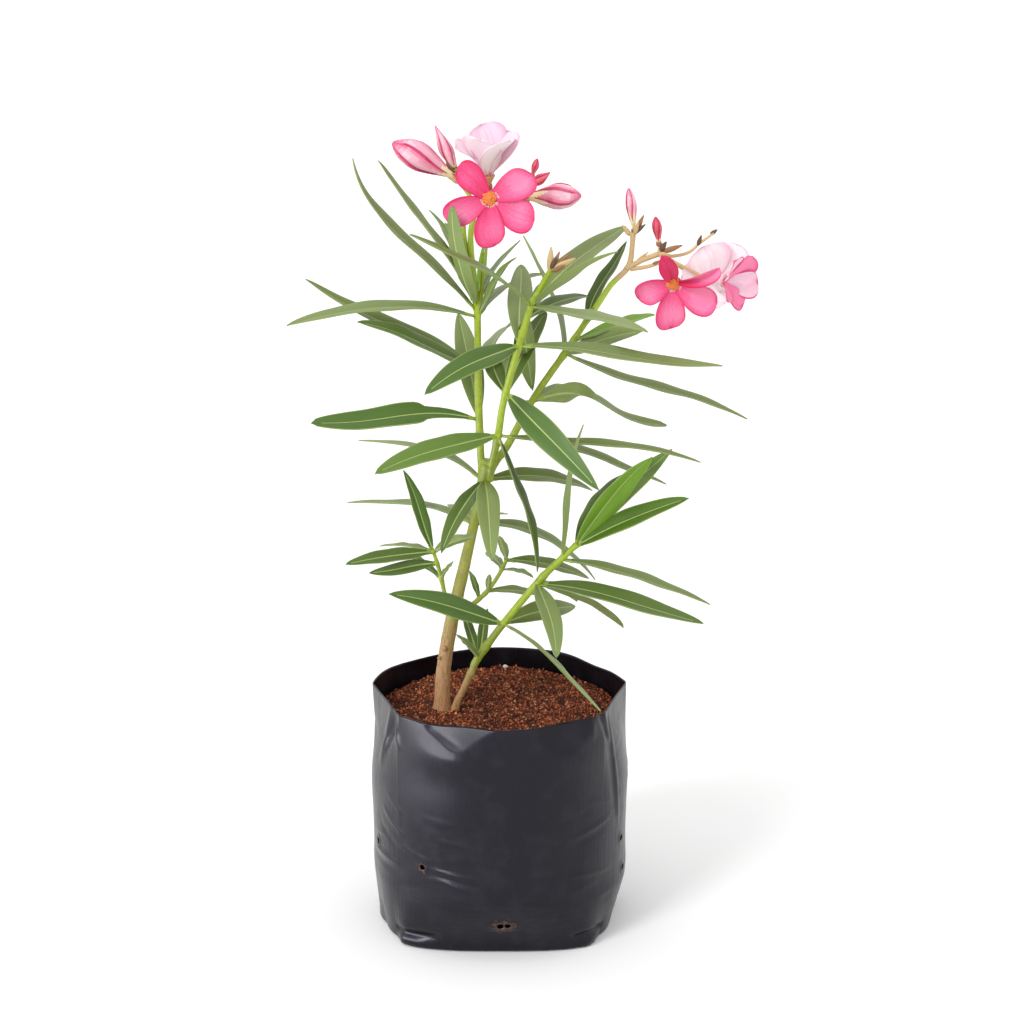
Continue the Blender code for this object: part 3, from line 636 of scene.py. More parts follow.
def makePebble():
    x, y, level, radius = mix["pebble"]
    bm = bmesh.new()
    bmesh.ops.create_icosphere(bm, subdivisions=3, radius=radius * mm)
    for vert in bm.verts:
        vert.co *= 1 + 0.2 * noise.noise(vert.co * 500)
        vert.co.z *= 0.7
    bmesh.ops.translate(bm, verts=bm.verts, vec=Vector((x, y, level)) * mm)
    stone = newFinish("pebble", mix["stone"], 0.6)
    plugBump(stone, addNoise(stone, objectPlace(stone), 1.5), 0.3, 0.3)
    pebble = newPiece("pebble", meshFrom(bm, "pebble", [stone]), "mix")
    pebble.data.shade_smooth()


# Stems: every limb is a path of (x, y, z, radius), with its age by level from tan bark at 0 to green at 1.

stems = {
    "voxel": 0.42, "smoothing": 4, "sides": 16, "steps": 14, "soil": 122, "forkCut": 263.5,
    "nodeSwell": 0.2, "nodeHalf": 1.6, "bossRadius": 1.25, "bossOut": 0.7,
    "barkRelief": 0.24, "shootRelief": 0.02, "knots": ((-31.5, -4.6, 164, 1.7), (-34.6, -3.6, 158, 1.2)),
    # noise of the bark across and along the stem, and the share and scale of its level bands
    "barkGrain": (0.8, 0.16), "barkBands": (0.5, 0.3),
    # colours from the oldest bark to the youngest shoot, and the dark of their flecks
    "ages": ((0, (184, 136, 96)), (0.18, (170, 138, 86)), (0.4, (150, 144, 62)), (0.7, (142, 156, 40)),
             (1, (158, 180, 38))),
    "fleck": (70, 55, 35), "barkRoughness": 0.85, "shootRoughness": 0.42,
}
trunkPath = ((-33.6, 0, 119, 6.6), (-33.2, 0, 131, 4.8), (-32.4, 0, 149, 4.2), (-27.9, 0, 177, 4.0),
             (-21.6, 0, 205, 3.5), (-14.2, 0, 238, 2.9), (-10.2, 0, 256, 3.4), (-7.2, 0, 268, 4.3),
             (-5.8, 0, 274, 4.3))
basalPath = ((-26.6, -3, 120, 3.0), (-25.0, -3.4, 130, 2.3), (-21.1, -4, 138.6, 2.1),
             (-15.9, -5, 150.5, 2.1), (-12.4, -5, 158.3, 2.3), (2, -8, 179.7, 2.1),
             (21.8, -12, 205.8, 2.1), (33, -14, 218.2, 1.9), (44, -16, 229.5, 1.6))
leftPath = ((-10.0, 0.2, 262, 2.1), (-10.3, 1, 272, 2.1), (-10.9, 2, 285, 2.2), (-11.7, 4, 308, 2.2),
            (-12, 6, 336, 2.0), (-12.2, 7, 354, 2.0), (-12.9, 6.2, 366, 1.8), (-13.5, 5, 376, 1.6))
middlePath = ((-5.6, -2.4, 262, 2.0), (-4.3, -3.4, 272, 2.1), (-0.7, -7, 289.5, 2.1),
              (1.8, -10, 306.7, 2.0), (6.5, -14, 326.3, 2.0), (11.8, -17, 345.5, 2.0),
              (17.5, -20, 365.5, 1.9), (22, -21, 374, 1.6), (28.3, -22, 386.3, 1.5))
rightPath = ((-5.7, 2.3, 261, 2.0), (-4.0, 2.8, 268, 2.0), (0.2, 4.6, 275, 2.1), (5.4, 7, 282.1, 2.2),
             (18.4, 14, 304.8, 2.0), (28.6, 18, 319.6, 2.0), (37.1, 21, 331.1, 1.9),
             (47.3, 25, 345.8, 1.8), (54, 27.5, 356, 1.6))
leftShootPath = ((-26.5, -1.6, 184, 1.3), (-30.4, -2.4, 192, 1.3), (-32.4, -3.6, 202, 1.3),
                 (-34.9, -5, 213.2, 1.2), (-37.8, -6, 223.2, 1.0))
rightShootPath = ((-26, 0.6, 181, 1.3), (-20.6, 2.8, 184, 1.3), (-11.8, 5, 190.6, 1.3), (-7, 7, 194.8, 1.3),
                  (-2.1, 9, 201.1, 1.2), (1.8, 11, 207.7, 1.2), (4.2, 12, 212.5, 1.0))
youngPeduncle = ((-11.5, 6, 353, 1.3), (-9.6, 4, 372, 1.2), (-8.6, 1, 392, 1.0))
ages = {
    trunkPath: ((119, 0), (155, 0.06), (178, 0.26), (196, 0.4), (235, 0.6), (262, 0.8), (274, 0.88)),
    basalPath: ((120, 0), (146, 0.15), (158, 0.7), (180, 0.9), (230, 1)),
    leftPath: ((262, 0.8), (300, 0.85), (376, 1)),
    middlePath: ((262, 0.8), (300, 0.95), (386, 1)),
    rightPath: ((261, 0.7), (300, 0.8), (356, 0.85)),
    leftShootPath: ((184, 0.6), (223, 0.9)),
    rightShootPath: ((181, 0.55), (213, 0.9)),
    youngPeduncle: ((353, 0.95), (392, 1)),
}

# Whorls: the level of each on its stem, then its leaves as (heading, rise, length, arch, roll, tone). A leaf
# that isn't a plain bow also says how far it winds or sways, lifts its tip, narrows to a neck or twists,
# how slim it is, or how blunt its tip.
leftWhorls = {
    297: ((-165, 2, 95, 4, -35, "deep", {"neck": 0.36, "sway": 0.02, "blunt": 0.42}),
          (101, 36, 82, 3, 0, "grey")),
    326: ((-172, 29, 108, -1, -15, "olive"), (-145, 24, 85, 2, -30, "dark"), (71, 8, 85, 6, -35, "grey")),
    355: ((-160, 1, 109, 7, -10, "grey"), (64, 7, 85, 6, -25, "grey"),
          (-47, 50, 48, 7, -4, "mid", {"sway": -0.019, "slim": 0.66})),
    359: ((-158, 51, 112, -1, -25, "olive", {"lifted": 0.1}), (70, 22, 75, 5, -40, "dark")),
    362: ((139, 45, 104, 1, 25, "olive"),
          (-107, 56, 73, -6.2, -24, "dark", {"wind": -0.017, "sway": -0.013, "blunt": 0.5}),
          (119, 39, 72, 4, 30, "mid"), (83, 32, 56, 3, 0, "light", {"slim": 0.5}),
          (-140, 66, 52, 2, 0, "mid")),
}
middleWhorls = {
    290: ((-144, -7, 82, 5, -35, "mid"), (-66, -51, 84, 3.6, -48, "shade", {"wind": -0.049, "sway": -0.027}),
          (1, -8, 114, 2, 0, "olive")),
    315: ((-48, -29, 85, 10, 50, "deep"), (104, 12, 62, 5, 0, "dark"), (69, 29, 72, 4, 0, "dark")),
    343: ((-129, -10, 80, 8, -35, "deep"), (-18, -2, 114, 0, 10, "grey"), (89, 25, 78, 6, 0, "grey"),
          (99, -27, 60, 6, 0, "dark")),
    359: ((55, 3, 60, 5, 15, "dark"), (86, -47, 70, 8, -30, "dark")),
    366: ((-136, 29, 100, 3, -20, "mid"), (-45, -2, 85, 1, 5, "pale"), (50, 22, 90, 5, 10, "grey"),
          (-47, 30, 75, 3, 0, "pale"), (76, 21, 25, 2, 0, "mid"), (15, 42, 30, 2, 0, "light")),
}
rightWhorls = {
    286: ((19, -21, 100, 3, 10, "olive"),),
    305: ((28, -15, 92, 6, 15, "olive", {"sway": 0.055, "blunt": 0.36, "twist": -115}),
          (64, -4, 55, 4, 50, "pale"), (99, -26, 50, 5, 0, "dark")),
    331: ((-1, -20, 110, -1, 5, "olive"), (107, 35, 96, 4, 60, "dark"),
          (-54, 19, 72, 3, 52, "grey", {"blunt": 0.5})),
    338: ((-53, 20, 74, 1, 30, "light"),),
    348: ((47, 51, 54, 4, -12, "shade", {"wind": -0.03, "slim": 1.25}), (-58, 29, 16, 2, 0, "mid")),
}
basalWhorls = {
    159: ((-116, 39, 34, 3, 0, "mid"), (109, 32, 34, 3, 0, "dark"), (80, 37, 34, 3, 0, "dark")),
    180: ((-147, 22, 80, 5, -55, "deep"), (-50, -20, 88, 3, -40, "grey"), (54, -6, 72, 6, 45, "olive")),
    205: ((-22, -7, 99, 3, 15, "dark"), (-81, -20, 68, 8, -10, "grey"), (39, -31, 76, 4, -10, "olive"),
          (65, -25, 62, 6, 0, "grey")),
    220: ((6, -19, 90, 3, 5, "olive"), (-45, 79, 82, 2, 30, "pale")),
    228: ((-46, 47, 84, -5, 150, "light"), (39, 32, 85, 5, 20, "mid"), (58, 26, 68, 8, -10, "dark"),
          (-29, 28, 78, 4, 45, "fresh")),
}
leftShootWhorls = {
    206: ((128, 11, 36, 4, 0, "mid"), (-62, 43, 20, 3, 0, "mid")),
    215: ((-152, 0, 42, 3, -65, "dark"),),
    222: ((130, 58, 50, 3, -5, "deep"), (-152, 0, 54, 3, -35, "dark"), (-51, 25, 42, 5, -40, "dark"),
          (142, -5, 40, 5, 0, "grey")),
}
rightShootWhorls = {
    191: ((109, 30, 22, 3, 0, "mid"),),
    195: ((-85, 45, 20, 3, 0, "pale"), (33, -14, 42, 5, 25, "grey")),
    207: ((-61, 7, 36, 4, 0, "mid"), (105, 0, 36, 4, 0, "grey")),
    212: ((-100, 43, 30, 3, 0, "pale"), (29, -19, 58, 6, 30, "olive")),
}
forkWhorl = {
    262.5: ((-86, -23, 72, 12, 0, "grey"), (148, 8, 86, 8, 10, "grey"), (34, -13, 76, 8, 25, "olive"),
            (-114, -27, 62, 8, -5, "dark")),
}
trunkWhorl = {
    237: ((151, 1, 84, 6, 5, "grey"), (20, -29, 84, 12, 15, "grey"), (108, -2, 50, 5, 0, "grey"),
          (68, -8, 50, 5, 0, "grey")),
}
# each leaf piece: the node that it stands for, its stem and its whorls
foliage = {
    "leftLeaves": ("left_foliage", leftPath, leftWhorls),
    "middleLeaves": ("middle_foliage", middlePath, middleWhorls),
    "rightLeaves": ("right_foliage", rightPath, rightWhorls),
    "basalLeaves": ("basal_foliage", basalPath, basalWhorls),
    "leftShootLeaves": ("left_shoot_foliage", leftShootPath, leftShootWhorls),
    "rightShootLeaves": ("right_shoot_foliage", rightShootPath, rightShootWhorls),
    "forkLeaves": ("fork_whorl", trunkPath, forkWhorl), "trunkLeaves": ("trunk_whorl", trunkPath, trunkWhorl),
}


def stemFinish(name):
    # tan bark through olive to fresh green, by the piece's own age attribute
    stem = newFinish(name, stems["ages"][-1][1], stems["shootRoughness"])
    age = addNode(stem, "ShaderNodeAttribute", {}, attribute_name="age").outputs["Fac"]
    mottle = spread(stem, addNoise(stem, objectPlace(stem), 0.5, 5), -0.18, 0.18, 0.3, 0.7)
    colour = addRamp(stem, calculate(stem, "ADD", mottle, age, clamp=True), stems["ages"])
    flecks = spread(stem, addNoise(stem, objectPlace(stem, (1, 1, 0.35)), 1.1, 5), 0, 0.85, 0.48, 0.68)
    flecks = calculate(stem, "MULTIPLY", flecks, spread(stem, age, 1, 0.16))
    dark = mixColours(stem, 0.45, colour, stems["fleck"], "MULTIPLY")
    plug(stem, "Base Color", mixColours(stem, flecks, colour, dark))
    plug(stem, "Roughness", spread(stem, age, stems["barkRoughness"], stems["shootRoughness"]))
    plugBump(stem, addNoise(stem, objectPlace(stem, (1, 1, 0.25)), 1.6, 5), 0.5, 0.25)
    return stem


def nodeShape(path, levels):
    # a stem swells a little where its whorls sit
    bottom, top = path[0][2], path[-1][2]

    def shape(share, spoke):
        level = bottom + (top - bottom) * share
        gap = min((abs(level - whorl) for whorl in levels), default=math.inf) / stems["nodeHalf"]
        return 1 + stems["nodeSwell"] * math.exp(-gap * gap)
    return shape


def rawStems(paths):
    # limbs as overlapping tubes, with a small boss under each leaf
    bm, _ = newRingMesh()
    for path in paths:
        levels = [level for _, stem, whorls in foliage.values() if stem is path for level in whorls]
        sweep(bm, smoothPath(path, stems["steps"]), stems["sides"], shape=nodeShape(path, levels))
    bosses = [(axis + direction(heading, 0) * radius * stems["bossOut"], stems["bossRadius"] * mm)
              for _, path, whorls in foliage.values() if path in paths for level, leaves in whorls.items()
              for axis, radius in [pointAt(path, level * mm)] for heading, *_ in leaves]
    if trunkPath in paths:
        bosses += [(Vector(spot) * mm, radius * mm) for *spot, radius in stems["knots"]]
    for spot, radius in bosses:
        ball = bmesh.ops.create_icosphere(bm, subdivisions=2, radius=radius)["verts"]
        bmesh.ops.translate(bm, verts=ball, vec=spot)
    return ringMesh(bm, "rawStems")


def ageFinder():
    # the age of the nearest stem point
    samples = [(point.xyz, between(table, point.z / mm))
               for path, table in ages.items() for point in smoothPath(path, stems["steps"])]
    tree = KDTree(len(samples))
    for number, (point, _) in enumerate(samples):
        tree.insert(point, number)
    tree.balance()
    return lambda spot: samples[tree.find(spot)[1]][1]


def skinStems(paths, findAge):
    # one skin over overlapping limbs, then bark relief on it
    raw = helperObject("rawStems", rawStems(paths))
    skin = raw.modifiers.new("Skin", "REMESH")
    skin.mode = "VOXEL"
    skin.voxel_size = stems["voxel"] * mm
    soften = raw.modifiers.new("Soften", "SMOOTH")
    soften.factor = 0.5
    soften.iterations = stems["smoothing"]
    bm = bmesh.new()
    bm.from_mesh(appliedMesh(raw))
    bpy.data.objects.remove(raw)
    age = bm.verts.layers.float.new("age")
    across, along = stems["barkGrain"]
    band, bandScale = stems["barkBands"]
    for vert in bm.verts:
        vert[age] = findAge(vert.co)
        place = vert.co / mm
        grain = Vector((place.x * across, place.y * across, place.z * along))
        bark = noise.fractal(grain, 1.0, 2.1, 4) + band * noise.noise(Vector((0, 0, place.z * bandScale)))
        relief = stems["barkRelief"] * (1 - vert[age]) ** 1.5 + stems["shootRelief"]
        vert.co += vert.normal * bark * relief * mm
    return meshFrom(bm, "stems")


def keepStems(skin, name, cuts, slot, *nodes):
    # the part of a skin above (1) or below (-1) each flat cut
    bm = bmesh.new()
    bm.from_mesh(skin)
    for level, side in cuts:
        everything = [*bm.verts, *bm.edges, *bm.faces]
        bmesh.ops.bisect_plane(bm, geom=everything, plane_co=(0, 0, level * mm), plane_no=(0, 0, side),
                               clear_inner=True)
        bmesh.ops.holes_fill(bm, edges=[edge for edge in bm.edges if edge.is_boundary], sides=0)
    piece = newPiece(name, meshFrom(bm, name, [stemFinish(name + "Bark")]), slot, *nodes)
    piece.data.shade_smooth()
    piece.data.set_sharp_from_angle(angle=math.radians(60))
    print(name, len(piece.data.polygons))


def makeStems():
    findAge = ageFinder()
    soil, fork = (stems["soil"], 1), stems["forkCut"]
    tree = skinStems([trunkPath, leftPath, middlePath, rightPath, youngPeduncle], findAge)
    keepStems(tree, "trunk", (soil, (fork, -1)), "bark", "main_trunk")
    keepStems(tree, "boughs", ((fork, 1),), "shoot", "left_bough", "middle_bough", "right_bough")
    shoots = skinStems([basalPath, leftShootPath, rightShootPath], findAge)
    keepStems(shoots, "shoots", (soil,), "shoot", "basal_stem")


# Leaves: narrow leathery blades with a pale midrib, in plain tones dealt out leaf by leaf.

leafShape = {
    "columns": (-1, -0.92, -0.6, -0.3, -0.1, 0.1, 0.3, 0.6, 0.92, 1), "rows": 34,
    "widthShare": 0.18, "widest": 16.5, "rootOffset": 0.35, "stalk": 0.15, "tip": 0.02, "blunt": (0.5, 0.75),
    "midrib": 0.45, "fold": 0.3, "roll": 0.12, "groove": 0.16, "wave": 0.35, "waves": (2.2, 3.6),
    "neckAt": 0.34, "sway": (-0.014, 0.014), "wind": (-0.01, 0.01), "twistEnd": 0.45, "twistRun": 0.3,
    "thickness": 1.1, "bladeShare": 0.32, "midribShare": 0.8, "stalkEnd": 0.055, "ribEnd": 0.94,
    "veins": 420, "veinLean": 0.12, "seed": 3,
}
leafTones = {
    "deep": (80, 109, 46), "dark": (86, 108, 48), "shade": (70, 92, 20), "mid": (102, 130, 58),
    "fresh": (74, 106, 22), "light": (110, 150, 40), "olive": (112, 128, 62), "grey": (122, 138, 80),
    "pale": (132, 146, 92),
}
leafEdges = {
    # the pale margin colour is a painted glow, standing in for light shining through the thin leaf edge
    "midrib": (168, 186, 112), "margin": (136, 154, 84), "stalk": (156, 176, 78),
    "under": (160, 176, 108), "underShare": 0.6, "underRib": (170, 186, 118),
}


def leafOutline(u, blunt):
    # share of the half width: a short stalk, then a long narrow lance
    swell = math.sin(math.pi * u ** 0.9)
    return max(leafShape["stalk"] if u < 0.1 else leafShape["tip"], swell ** (0.85 if u < 0.46 else blunt))


def leafFinish(name, colour, roughness=0.45):
    # side veins run out from the midrib and lean to the tip
    leaf = newFinish(name, colour, roughness, {"Specular IOR Level": 0.4})
    axes = addNode(leaf, "ShaderNodeSeparateXYZ", {"Vector": bladeUv(leaf)}).outputs
    fromRib = calculate(leaf, "ABSOLUTE", calculate(leaf, "SUBTRACT", axes["X"], 0.5))
    veins = calculate(leaf, "MULTIPLY_ADD", fromRib, -leafShape["veinLean"], axes["Y"])
    ripple = calculate(leaf, "SINE", calculate(leaf, "MULTIPLY", veins, leafShape["veins"]))
    plugBump(leaf, ripple, 0.12, 0.2)
    wear = addNoise(leaf, objectPlace(leaf), 0.12)
    plug(leaf, "Roughness", spread(leaf, wear, roughness - 0.08, roughness + 0.1))
    return leaf


def leafFinishes():
    upper = [leafFinish("leaf" + name.title(), colour) for name, colour in leafTones.items()]
    edges = [leafFinish("leaf" + name.title(), leafEdges[name]) for name in ("midrib", "margin", "stalk")]
    share = leafEdges["underShare"]
    under = [leafFinish("leafUnder" + name.title(),
                        [top + (pale - top) * share for top, pale in zip(colour, leafEdges["under"])], 0.6)
             for name, colour in leafTones.items()]
    underRib = leafFinish("leafUnderRib", leafEdges["underRib"], 0.55)
    return [*upper, *edges, *under, underRib, *edges[1:]]


def addLeaf(bm, root, heading, rise, length, arch, roll, tone, extras=None):
    # one blade as a grid of its columns and rows, bent along its length
    extras = extras or {}
    along = direction(heading, rise)
    level = (up - along * along.z).normalized()
    level = Quaternion(along, math.radians(roll)) @ level
    side = along.cross(level)
    length *= mm
    width = min(length * leafShape["widthShare"], leafShape["widest"] * mm) * extras.get("slim", 1)
    columns, rows = leafShape["columns"], leafShape["rows"]
    dice = random.Random(heading * 7 + length * 1000 + leafShape["seed"])
    phase, count = dice.uniform(0, math.tau), dice.uniform(*leafShape["waves"])
    sway, wind, blunt = (extras.get(name, dice.uniform(*leafShape[name]))
                         for name in ("sway", "wind", "blunt"))
    strips = len(columns) - 1
    weight = bm.verts.layers.deform.verify()
    made = newSheet(bm, strips, rows)
    for vert in made:
        across = columns[round((vert.co.x + 1) / 2 * strips)]
        u = (vert.co.y + 1) / 2
        half = width / 2 * leafOutline(u, blunt)
        half *= 1 - extras.get("neck", 0) * smoothStep((leafShape["neckAt"] + 0.03 - u) / 0.06)
        rib = leafShape["midrib"] * mm * (1.1 - 0.8 * u)
        onRib = abs(across) < 0.2
        reach = math.copysign(min(rib, half * 0.5), across) if onRib else across * half
        share = abs(reach) / (half + 1e-9)
        lift = leafShape["fold"] * half * share - leafShape["roll"] * half * share ** 4
        ripple = math.sin(count * math.tau * u + phase + across) * math.sin(math.pi * u)
        lift += leafShape["wave"] * mm * share ** 2 * ripple - leafShape["groove"] * mm * onRib
        bow = arch / 100 * 4 * u * (1 - u) + sway * math.sin(math.tau * u)
        bow += extras.get("lifted", 0) * (u ** 6 - u)
        twist = extras.get("twist", 0) * smoothStep((leafShape["twistEnd"] - u) / leafShape["twistRun"])
        turn = Quaternion(along, math.radians(twist))
        vert.co = (root + along * (u * length) + level * bow * length
                   + side * wind * length * math.sin(math.tau * u) + turn @ (side * reach + level * lift))
        thin = leafShape["midribShare"] * (1 - 0.5 * u) if onRib else leafShape["bladeShare"]
        vert[weight][0] = 1 if u < 0.06 else thin
    slots = [*leafTones, "midrib", "margin", "stalk"]
    for face, middle in facePlaces(bm, made):
        face.smooth = True
        column = int(middle.x * strips)
        part = tone
        if middle.y < leafShape["stalkEnd"]:
            part = "stalk"
        elif column == strips // 2 and middle.y < leafShape["ribEnd"]:
            part = "midrib"
        # the outer columns take the pale margin, a painted glow of light through the thin edge
        elif column in (0, strips - 1):
            part = "margin"
        face.material_index = slots.index(part)


def makeLeaves():
    finishes = leafFinishes()
    for name, (node, path, whorls) in foliage.items():
        bm = bmesh.new()
        bm.loops.layers.uv.new("blade")
        for level, leaves in whorls.items():
            axis, radius = pointAt(path, level * mm)
            for heading, *shape in leaves:
                root = axis + direction(heading, 0) * radius * leafShape["rootOffset"]
                addLeaf(bm, root, heading, *shape)
        piece = newPiece(name, meshFrom(bm, name, finishes), "leaf", node)
        piece.vertex_groups.new(name="thickness")
        thick = thicken(piece, leafShape["thickness"], -1)
        thick.vertex_group = "thickness"
        thick.material_offset = len(leafTones) + 3
        print(name, len(piece.data.polygons))


# Blossom: open flowers, furled buds, and the stalks and scales that carry them. A petal is (angle round
# the flower from its right, length, width, cup towards the front, fold along its middle, curl of its tip).

blossom = {
    "petalColumns": 18, "petalRows": 20, "petalThickness": 0.35, "claw": 0.24, "widestAt": 0.7, "bowl": 0.14,
    "skew": 0.16, "slant": 0.24, "ruffle": 0.025, "shades": 9, "streak": 0.07, "sheer": 0.4, "seed": 21,
    "calyxAt": 5, "stalkSides": 10, "tubeSides": 14, "scaleSides": 8, "scaleSteps": 8,
    "budColumns": 9, "budRows": 18, "budTwist": 55, "budWrap": 58, "budLap": 0.13,
    # radius along a plump and a slender bud, as shares of its length and of its radius
    "plump": ((0, 0.2), (0.18, 0.36), (0.36, 0.66), (0.54, 0.95), (0.66, 1), (0.82, 0.84), (0.93, 0.5),
              (1, 0.1)),
    "slender": ((0, 0.44), (0.12, 0.62), (0.3, 0.92), (0.46, 1), (0.64, 0.76), (0.82, 0.42), (0.95, 0.14),
                (1, 0.04)),
    "threads": 26, "threadGap": 0.68, "veins": (26, 1.2, 1),
}
petalTones = {
    "rose": ((212, 22, 84), (240, 124, 166)), "blush": ((236, 180, 201), (251, 238, 243)),
    "candy": ((198, 44, 88), (246, 216, 224)), "crimson": ((170, 30, 58), (232, 116, 134)),
    "cream": ((214, 200, 120), (244, 234, 200)),
}
throatTones = {"gold": (226, 132, 64), "white": (246, 226, 230)}
stalkTones = {
    "tan": (206, 178, 128), "lime": (176, 204, 72), "scale": (156, 114, 76), "darkScale": (98, 72, 56),
    "tubeBrown": (206, 158, 112), "tubePink": (240, 202, 208),
}
# petals: angle, length, width, cup, fold, curl, and how bright they are, or how bright at foot and tip; the
# brightness is partly own colour, partly painted light and shade
roseOpen = ((136, 24.5, 15, 12, 8, 0, 0.05), (31, 27, 17.5, 14, 6, 2, 0.55), (-25, 27, 18.5, 8, 4, 4, 0.4),
            (-86, 26, 17, 6, 10, 3, 0.25), (208, 26, 15.5, 10, 6, 14, 0.4))
roseSide = ((111, 24.5, 12.5, 24, 36, -4, -0.3), (199, 22, 15.5, 14, 8, 6, 0.5), (-90, 27, 17, 8, 12, 4, 0.5),
            (-22, 27, 18.5, 12, 16, 2, 0.75), (32, 31, 12, 26, 48, 0, (-0.6, 1.6)))
# what is left of a spent flower at the middle bough's tip: base, tip, radius, finish
spentScales = (
    ((27.6, -22, 384.5), (28.4, -22, 398.5), 1.7, "tan"),
    ((28, -21.5, 384.5), (33, -20, 395.5), 1.4, "scale"),
    ((27.8, -22, 385), (41.5, -24, 392.5), 1.9, "tan"),
    ((28.5, -22.5, 386), (31, -23.5, 393), 1.4, "darkScale"),
    ((32, -21, 388), (38.5, -22.5, 395), 1.2, "scale"),
    ((29, -23, 385), (36, -25, 389), 1.3, "scale"),
)
cymes = {
    "left": {
        "node": "left_blossom", "heads": ((-12.5, 1, 417), (8, 1, 425)), "pedicel": "lime",
        # stalks: finish, then the path's points. A flower's or bud's head is where its own stalk starts.
        "stalks": (
            ("lime", (-12.9, 6.2, 366, 1.9), (-14, 5, 376, 1.9), (-15.6, 3, 393, 1.8), (-15.4, 1, 404, 1.7),
             (-12.5, 1, 417, 1.7)),
            ("lime", (-12.5, 1, 415, 1.4), (-2, 1.5, 420, 1.2), (8, 1, 425, 1.2)),
            ("lime", (-13.2, 5, 368, 1.5), (-17.6, 4, 388, 1.4), (-19.6, 2, 408, 1.3), (-17, 1, 420, 1.2)),
        ),
        # flowers: reach is the tube's length, and cup the size of the throat's scales and how deep they sit
        "flowers": (
            {"head": 0, "throat": (-5, -18, 424), "facing": (-90, 8), "tone": "rose", "tube": "tan",
             "reach": 17, "petals": roseOpen},
            {"head": 0, "throat": (-6, 7, 433.5), "facing": (-84, 76), "tone": "blush", "tube": "tubeBrown",
             "reach": 13, "cup": (0.6, 1.5),
             "petals": ((-118, 27, 23, 66, 0, 4, 0.6), (-44, 28, 27, 58, 0, 4, 0.8),
                        (182, 25, 22, 44, 2, 8, 0.2), (36, 27, 22, 56, 2, 4, 0.05),
                        (108, 28, 24, 66, 2, 4, 0.0))},
        ),
        # buds: head, base, tip, radius, tone, share of the length that is pale tube, form
        "buds": ((0, (-23, 0, 433), (-58, -6, 453), 7.2, "candy", 0.26, "plump"),
                 (0, (-24.5, 4, 438), (-35, 4, 461), 3.5, "candy", 0.06, "slender"),
                 (1, (18, 2, 433), (21, 3, 443), 1.7, "crimson", 0.1, "plump"),
                 (1, (18, 0, 429), (28, 0, 436), 2.6, "crimson", 0.1, "slender"),
                 (1, (13, -3, 423), (45, -7, 424), 6.6, "candy", 0.38, "plump")),
        # scales: base, tip, radius, finish
        "scales": (((-25, 2, 434), (-29, 2, 442), 1.3, "scale"),
                   ((-24, 0, 433), (-28, -3, 440), 1.3, "darkScale"),
                   ((-22, 2, 431), (-21, 3, 439), 1.3, "lime"), ((-22, -1, 430), (-27, -3, 434), 1.2, "tan"),
                   ((12, 0, 425), (14, 2, 431), 1.1, "scale"), ((-13, 1, 416), (-19, -1, 422), 1.1, "lime"),
                   ((9, 1, 425), (12, -1, 430), 1.1, "scale"), *spentScales),
    },
    "right": {
        "node": "right_blossom", "heads": ((75, 32, 398), (90, 31, 386)), "pedicel": "tan",
        "stalks": (("lime", (52.5, 27, 353, 1.8), (57.5, 28.5, 360.5, 1.75), (62.5, 30, 367.8, 1.7),
                    (66, 30.6, 371.5, 1.7)),
                   ("tan", (65, 30.5, 370.5, 1.65), (73, 32, 379, 1.7), (75, 32, 392, 1.5),
                    (75, 32, 398, 2.0)),
                   ("tan", (71, 31.5, 377, 1.6), (80, 31.5, 382, 1.5), (90, 31, 386, 1.6)),
                   ("tan", (74, 31.5, 377, 1.2), (84, 30, 379, 1.1), (92, 28, 382, 1.0)),
                   ("tan", (90, 31, 385.5, 1.1), (98, 35, 384, 1.0), (107, 36, 386, 0.9), (113, 36, 391, 0.8),
                    (121, 36, 397, 0.7))),
        "flowers": (
            {"head": 1, "throat": (96.6, 6, 374.2), "facing": (-88, -16), "tone": "rose", "tube": "tan",
             "reach": 17, "petals": roseSide},
            {"head": 1, "throat": (120.5, 45, 366.5), "facing": (-80, 8), "tone": "blush", "tube": "tubePink",
             "reach": 13, "cup": (0.3, 3),
             "petals": ((62, 26.5, 22, 12, 2, 6, 0.5), (2, 20, 17, 14, 2, 6, 0.5),
                        (-58, 14, 15, 14, 2, 6, 0.5), (168, 19, 18, 14, 2, 4, 0.5),
                        (108, 23.5, 27, 20, 2, 4, 0.5))},
            {"head": 1, "throat": (126.5, 26, 371.5), "facing": (-35, -4), "tone": "rosePale",
             "tube": "tubePink", "reach": 14, "cup": (0.4, 2.2),
             "petals": ((54, 21, 16, 34, 6, 8, 0.0), (-4, 21.5, 16.5, 34, 6, 8, 0.25),
                        (-58, 18, 16, 32, 4, 8, 0.0), (-128, 14.5, 14, 34, 4, 8, 0.0),
                        (120, 19, 15, 34, 4, 8, 0.25))},
        ),
        "buds": ((0, (76, 32, 398), (72.5, 32, 423), 2.7, "candy", 0.46, "plump"),
                 (1, (90, 31, 391), (87.7, 31, 407), 2.5, "crimson", 0.2, "plump")),
        "scales": (((75.5, 32, 396), (81, 30, 408), 1.5, "scale"), ((74, 32, 396), (69, 33, 402), 1.3, "tan"),
                   ((75, 31, 397), (82, 29, 403), 1.2, "darkScale"),
                   ((76, 30, 397), (78, 28, 405), 1.2, "tan"),
                   ((92, 31, 387), (103, 30, 391), 1.5, "scale"),
                   ((90, 31, 387), (94, 30, 393), 1.6, "darkScale"),
                   ((89, 30, 386), (96, 28, 386), 1.3, "tan"), ((77, 32, 381), (84, 31, 387), 0.9, "tan"),
                   ((88, 30, 381), (94, 28, 383), 0.9, "darkScale"),
                   ((112, 35, 390), (114, 35, 396), 1.1, "darkScale"),
                   ((119, 36, 396), (123, 36, 399), 1.1, "darkScale"),
                   ((86, 29, 380), (91, 27, 383), 1.0, "scale")),
    },
}


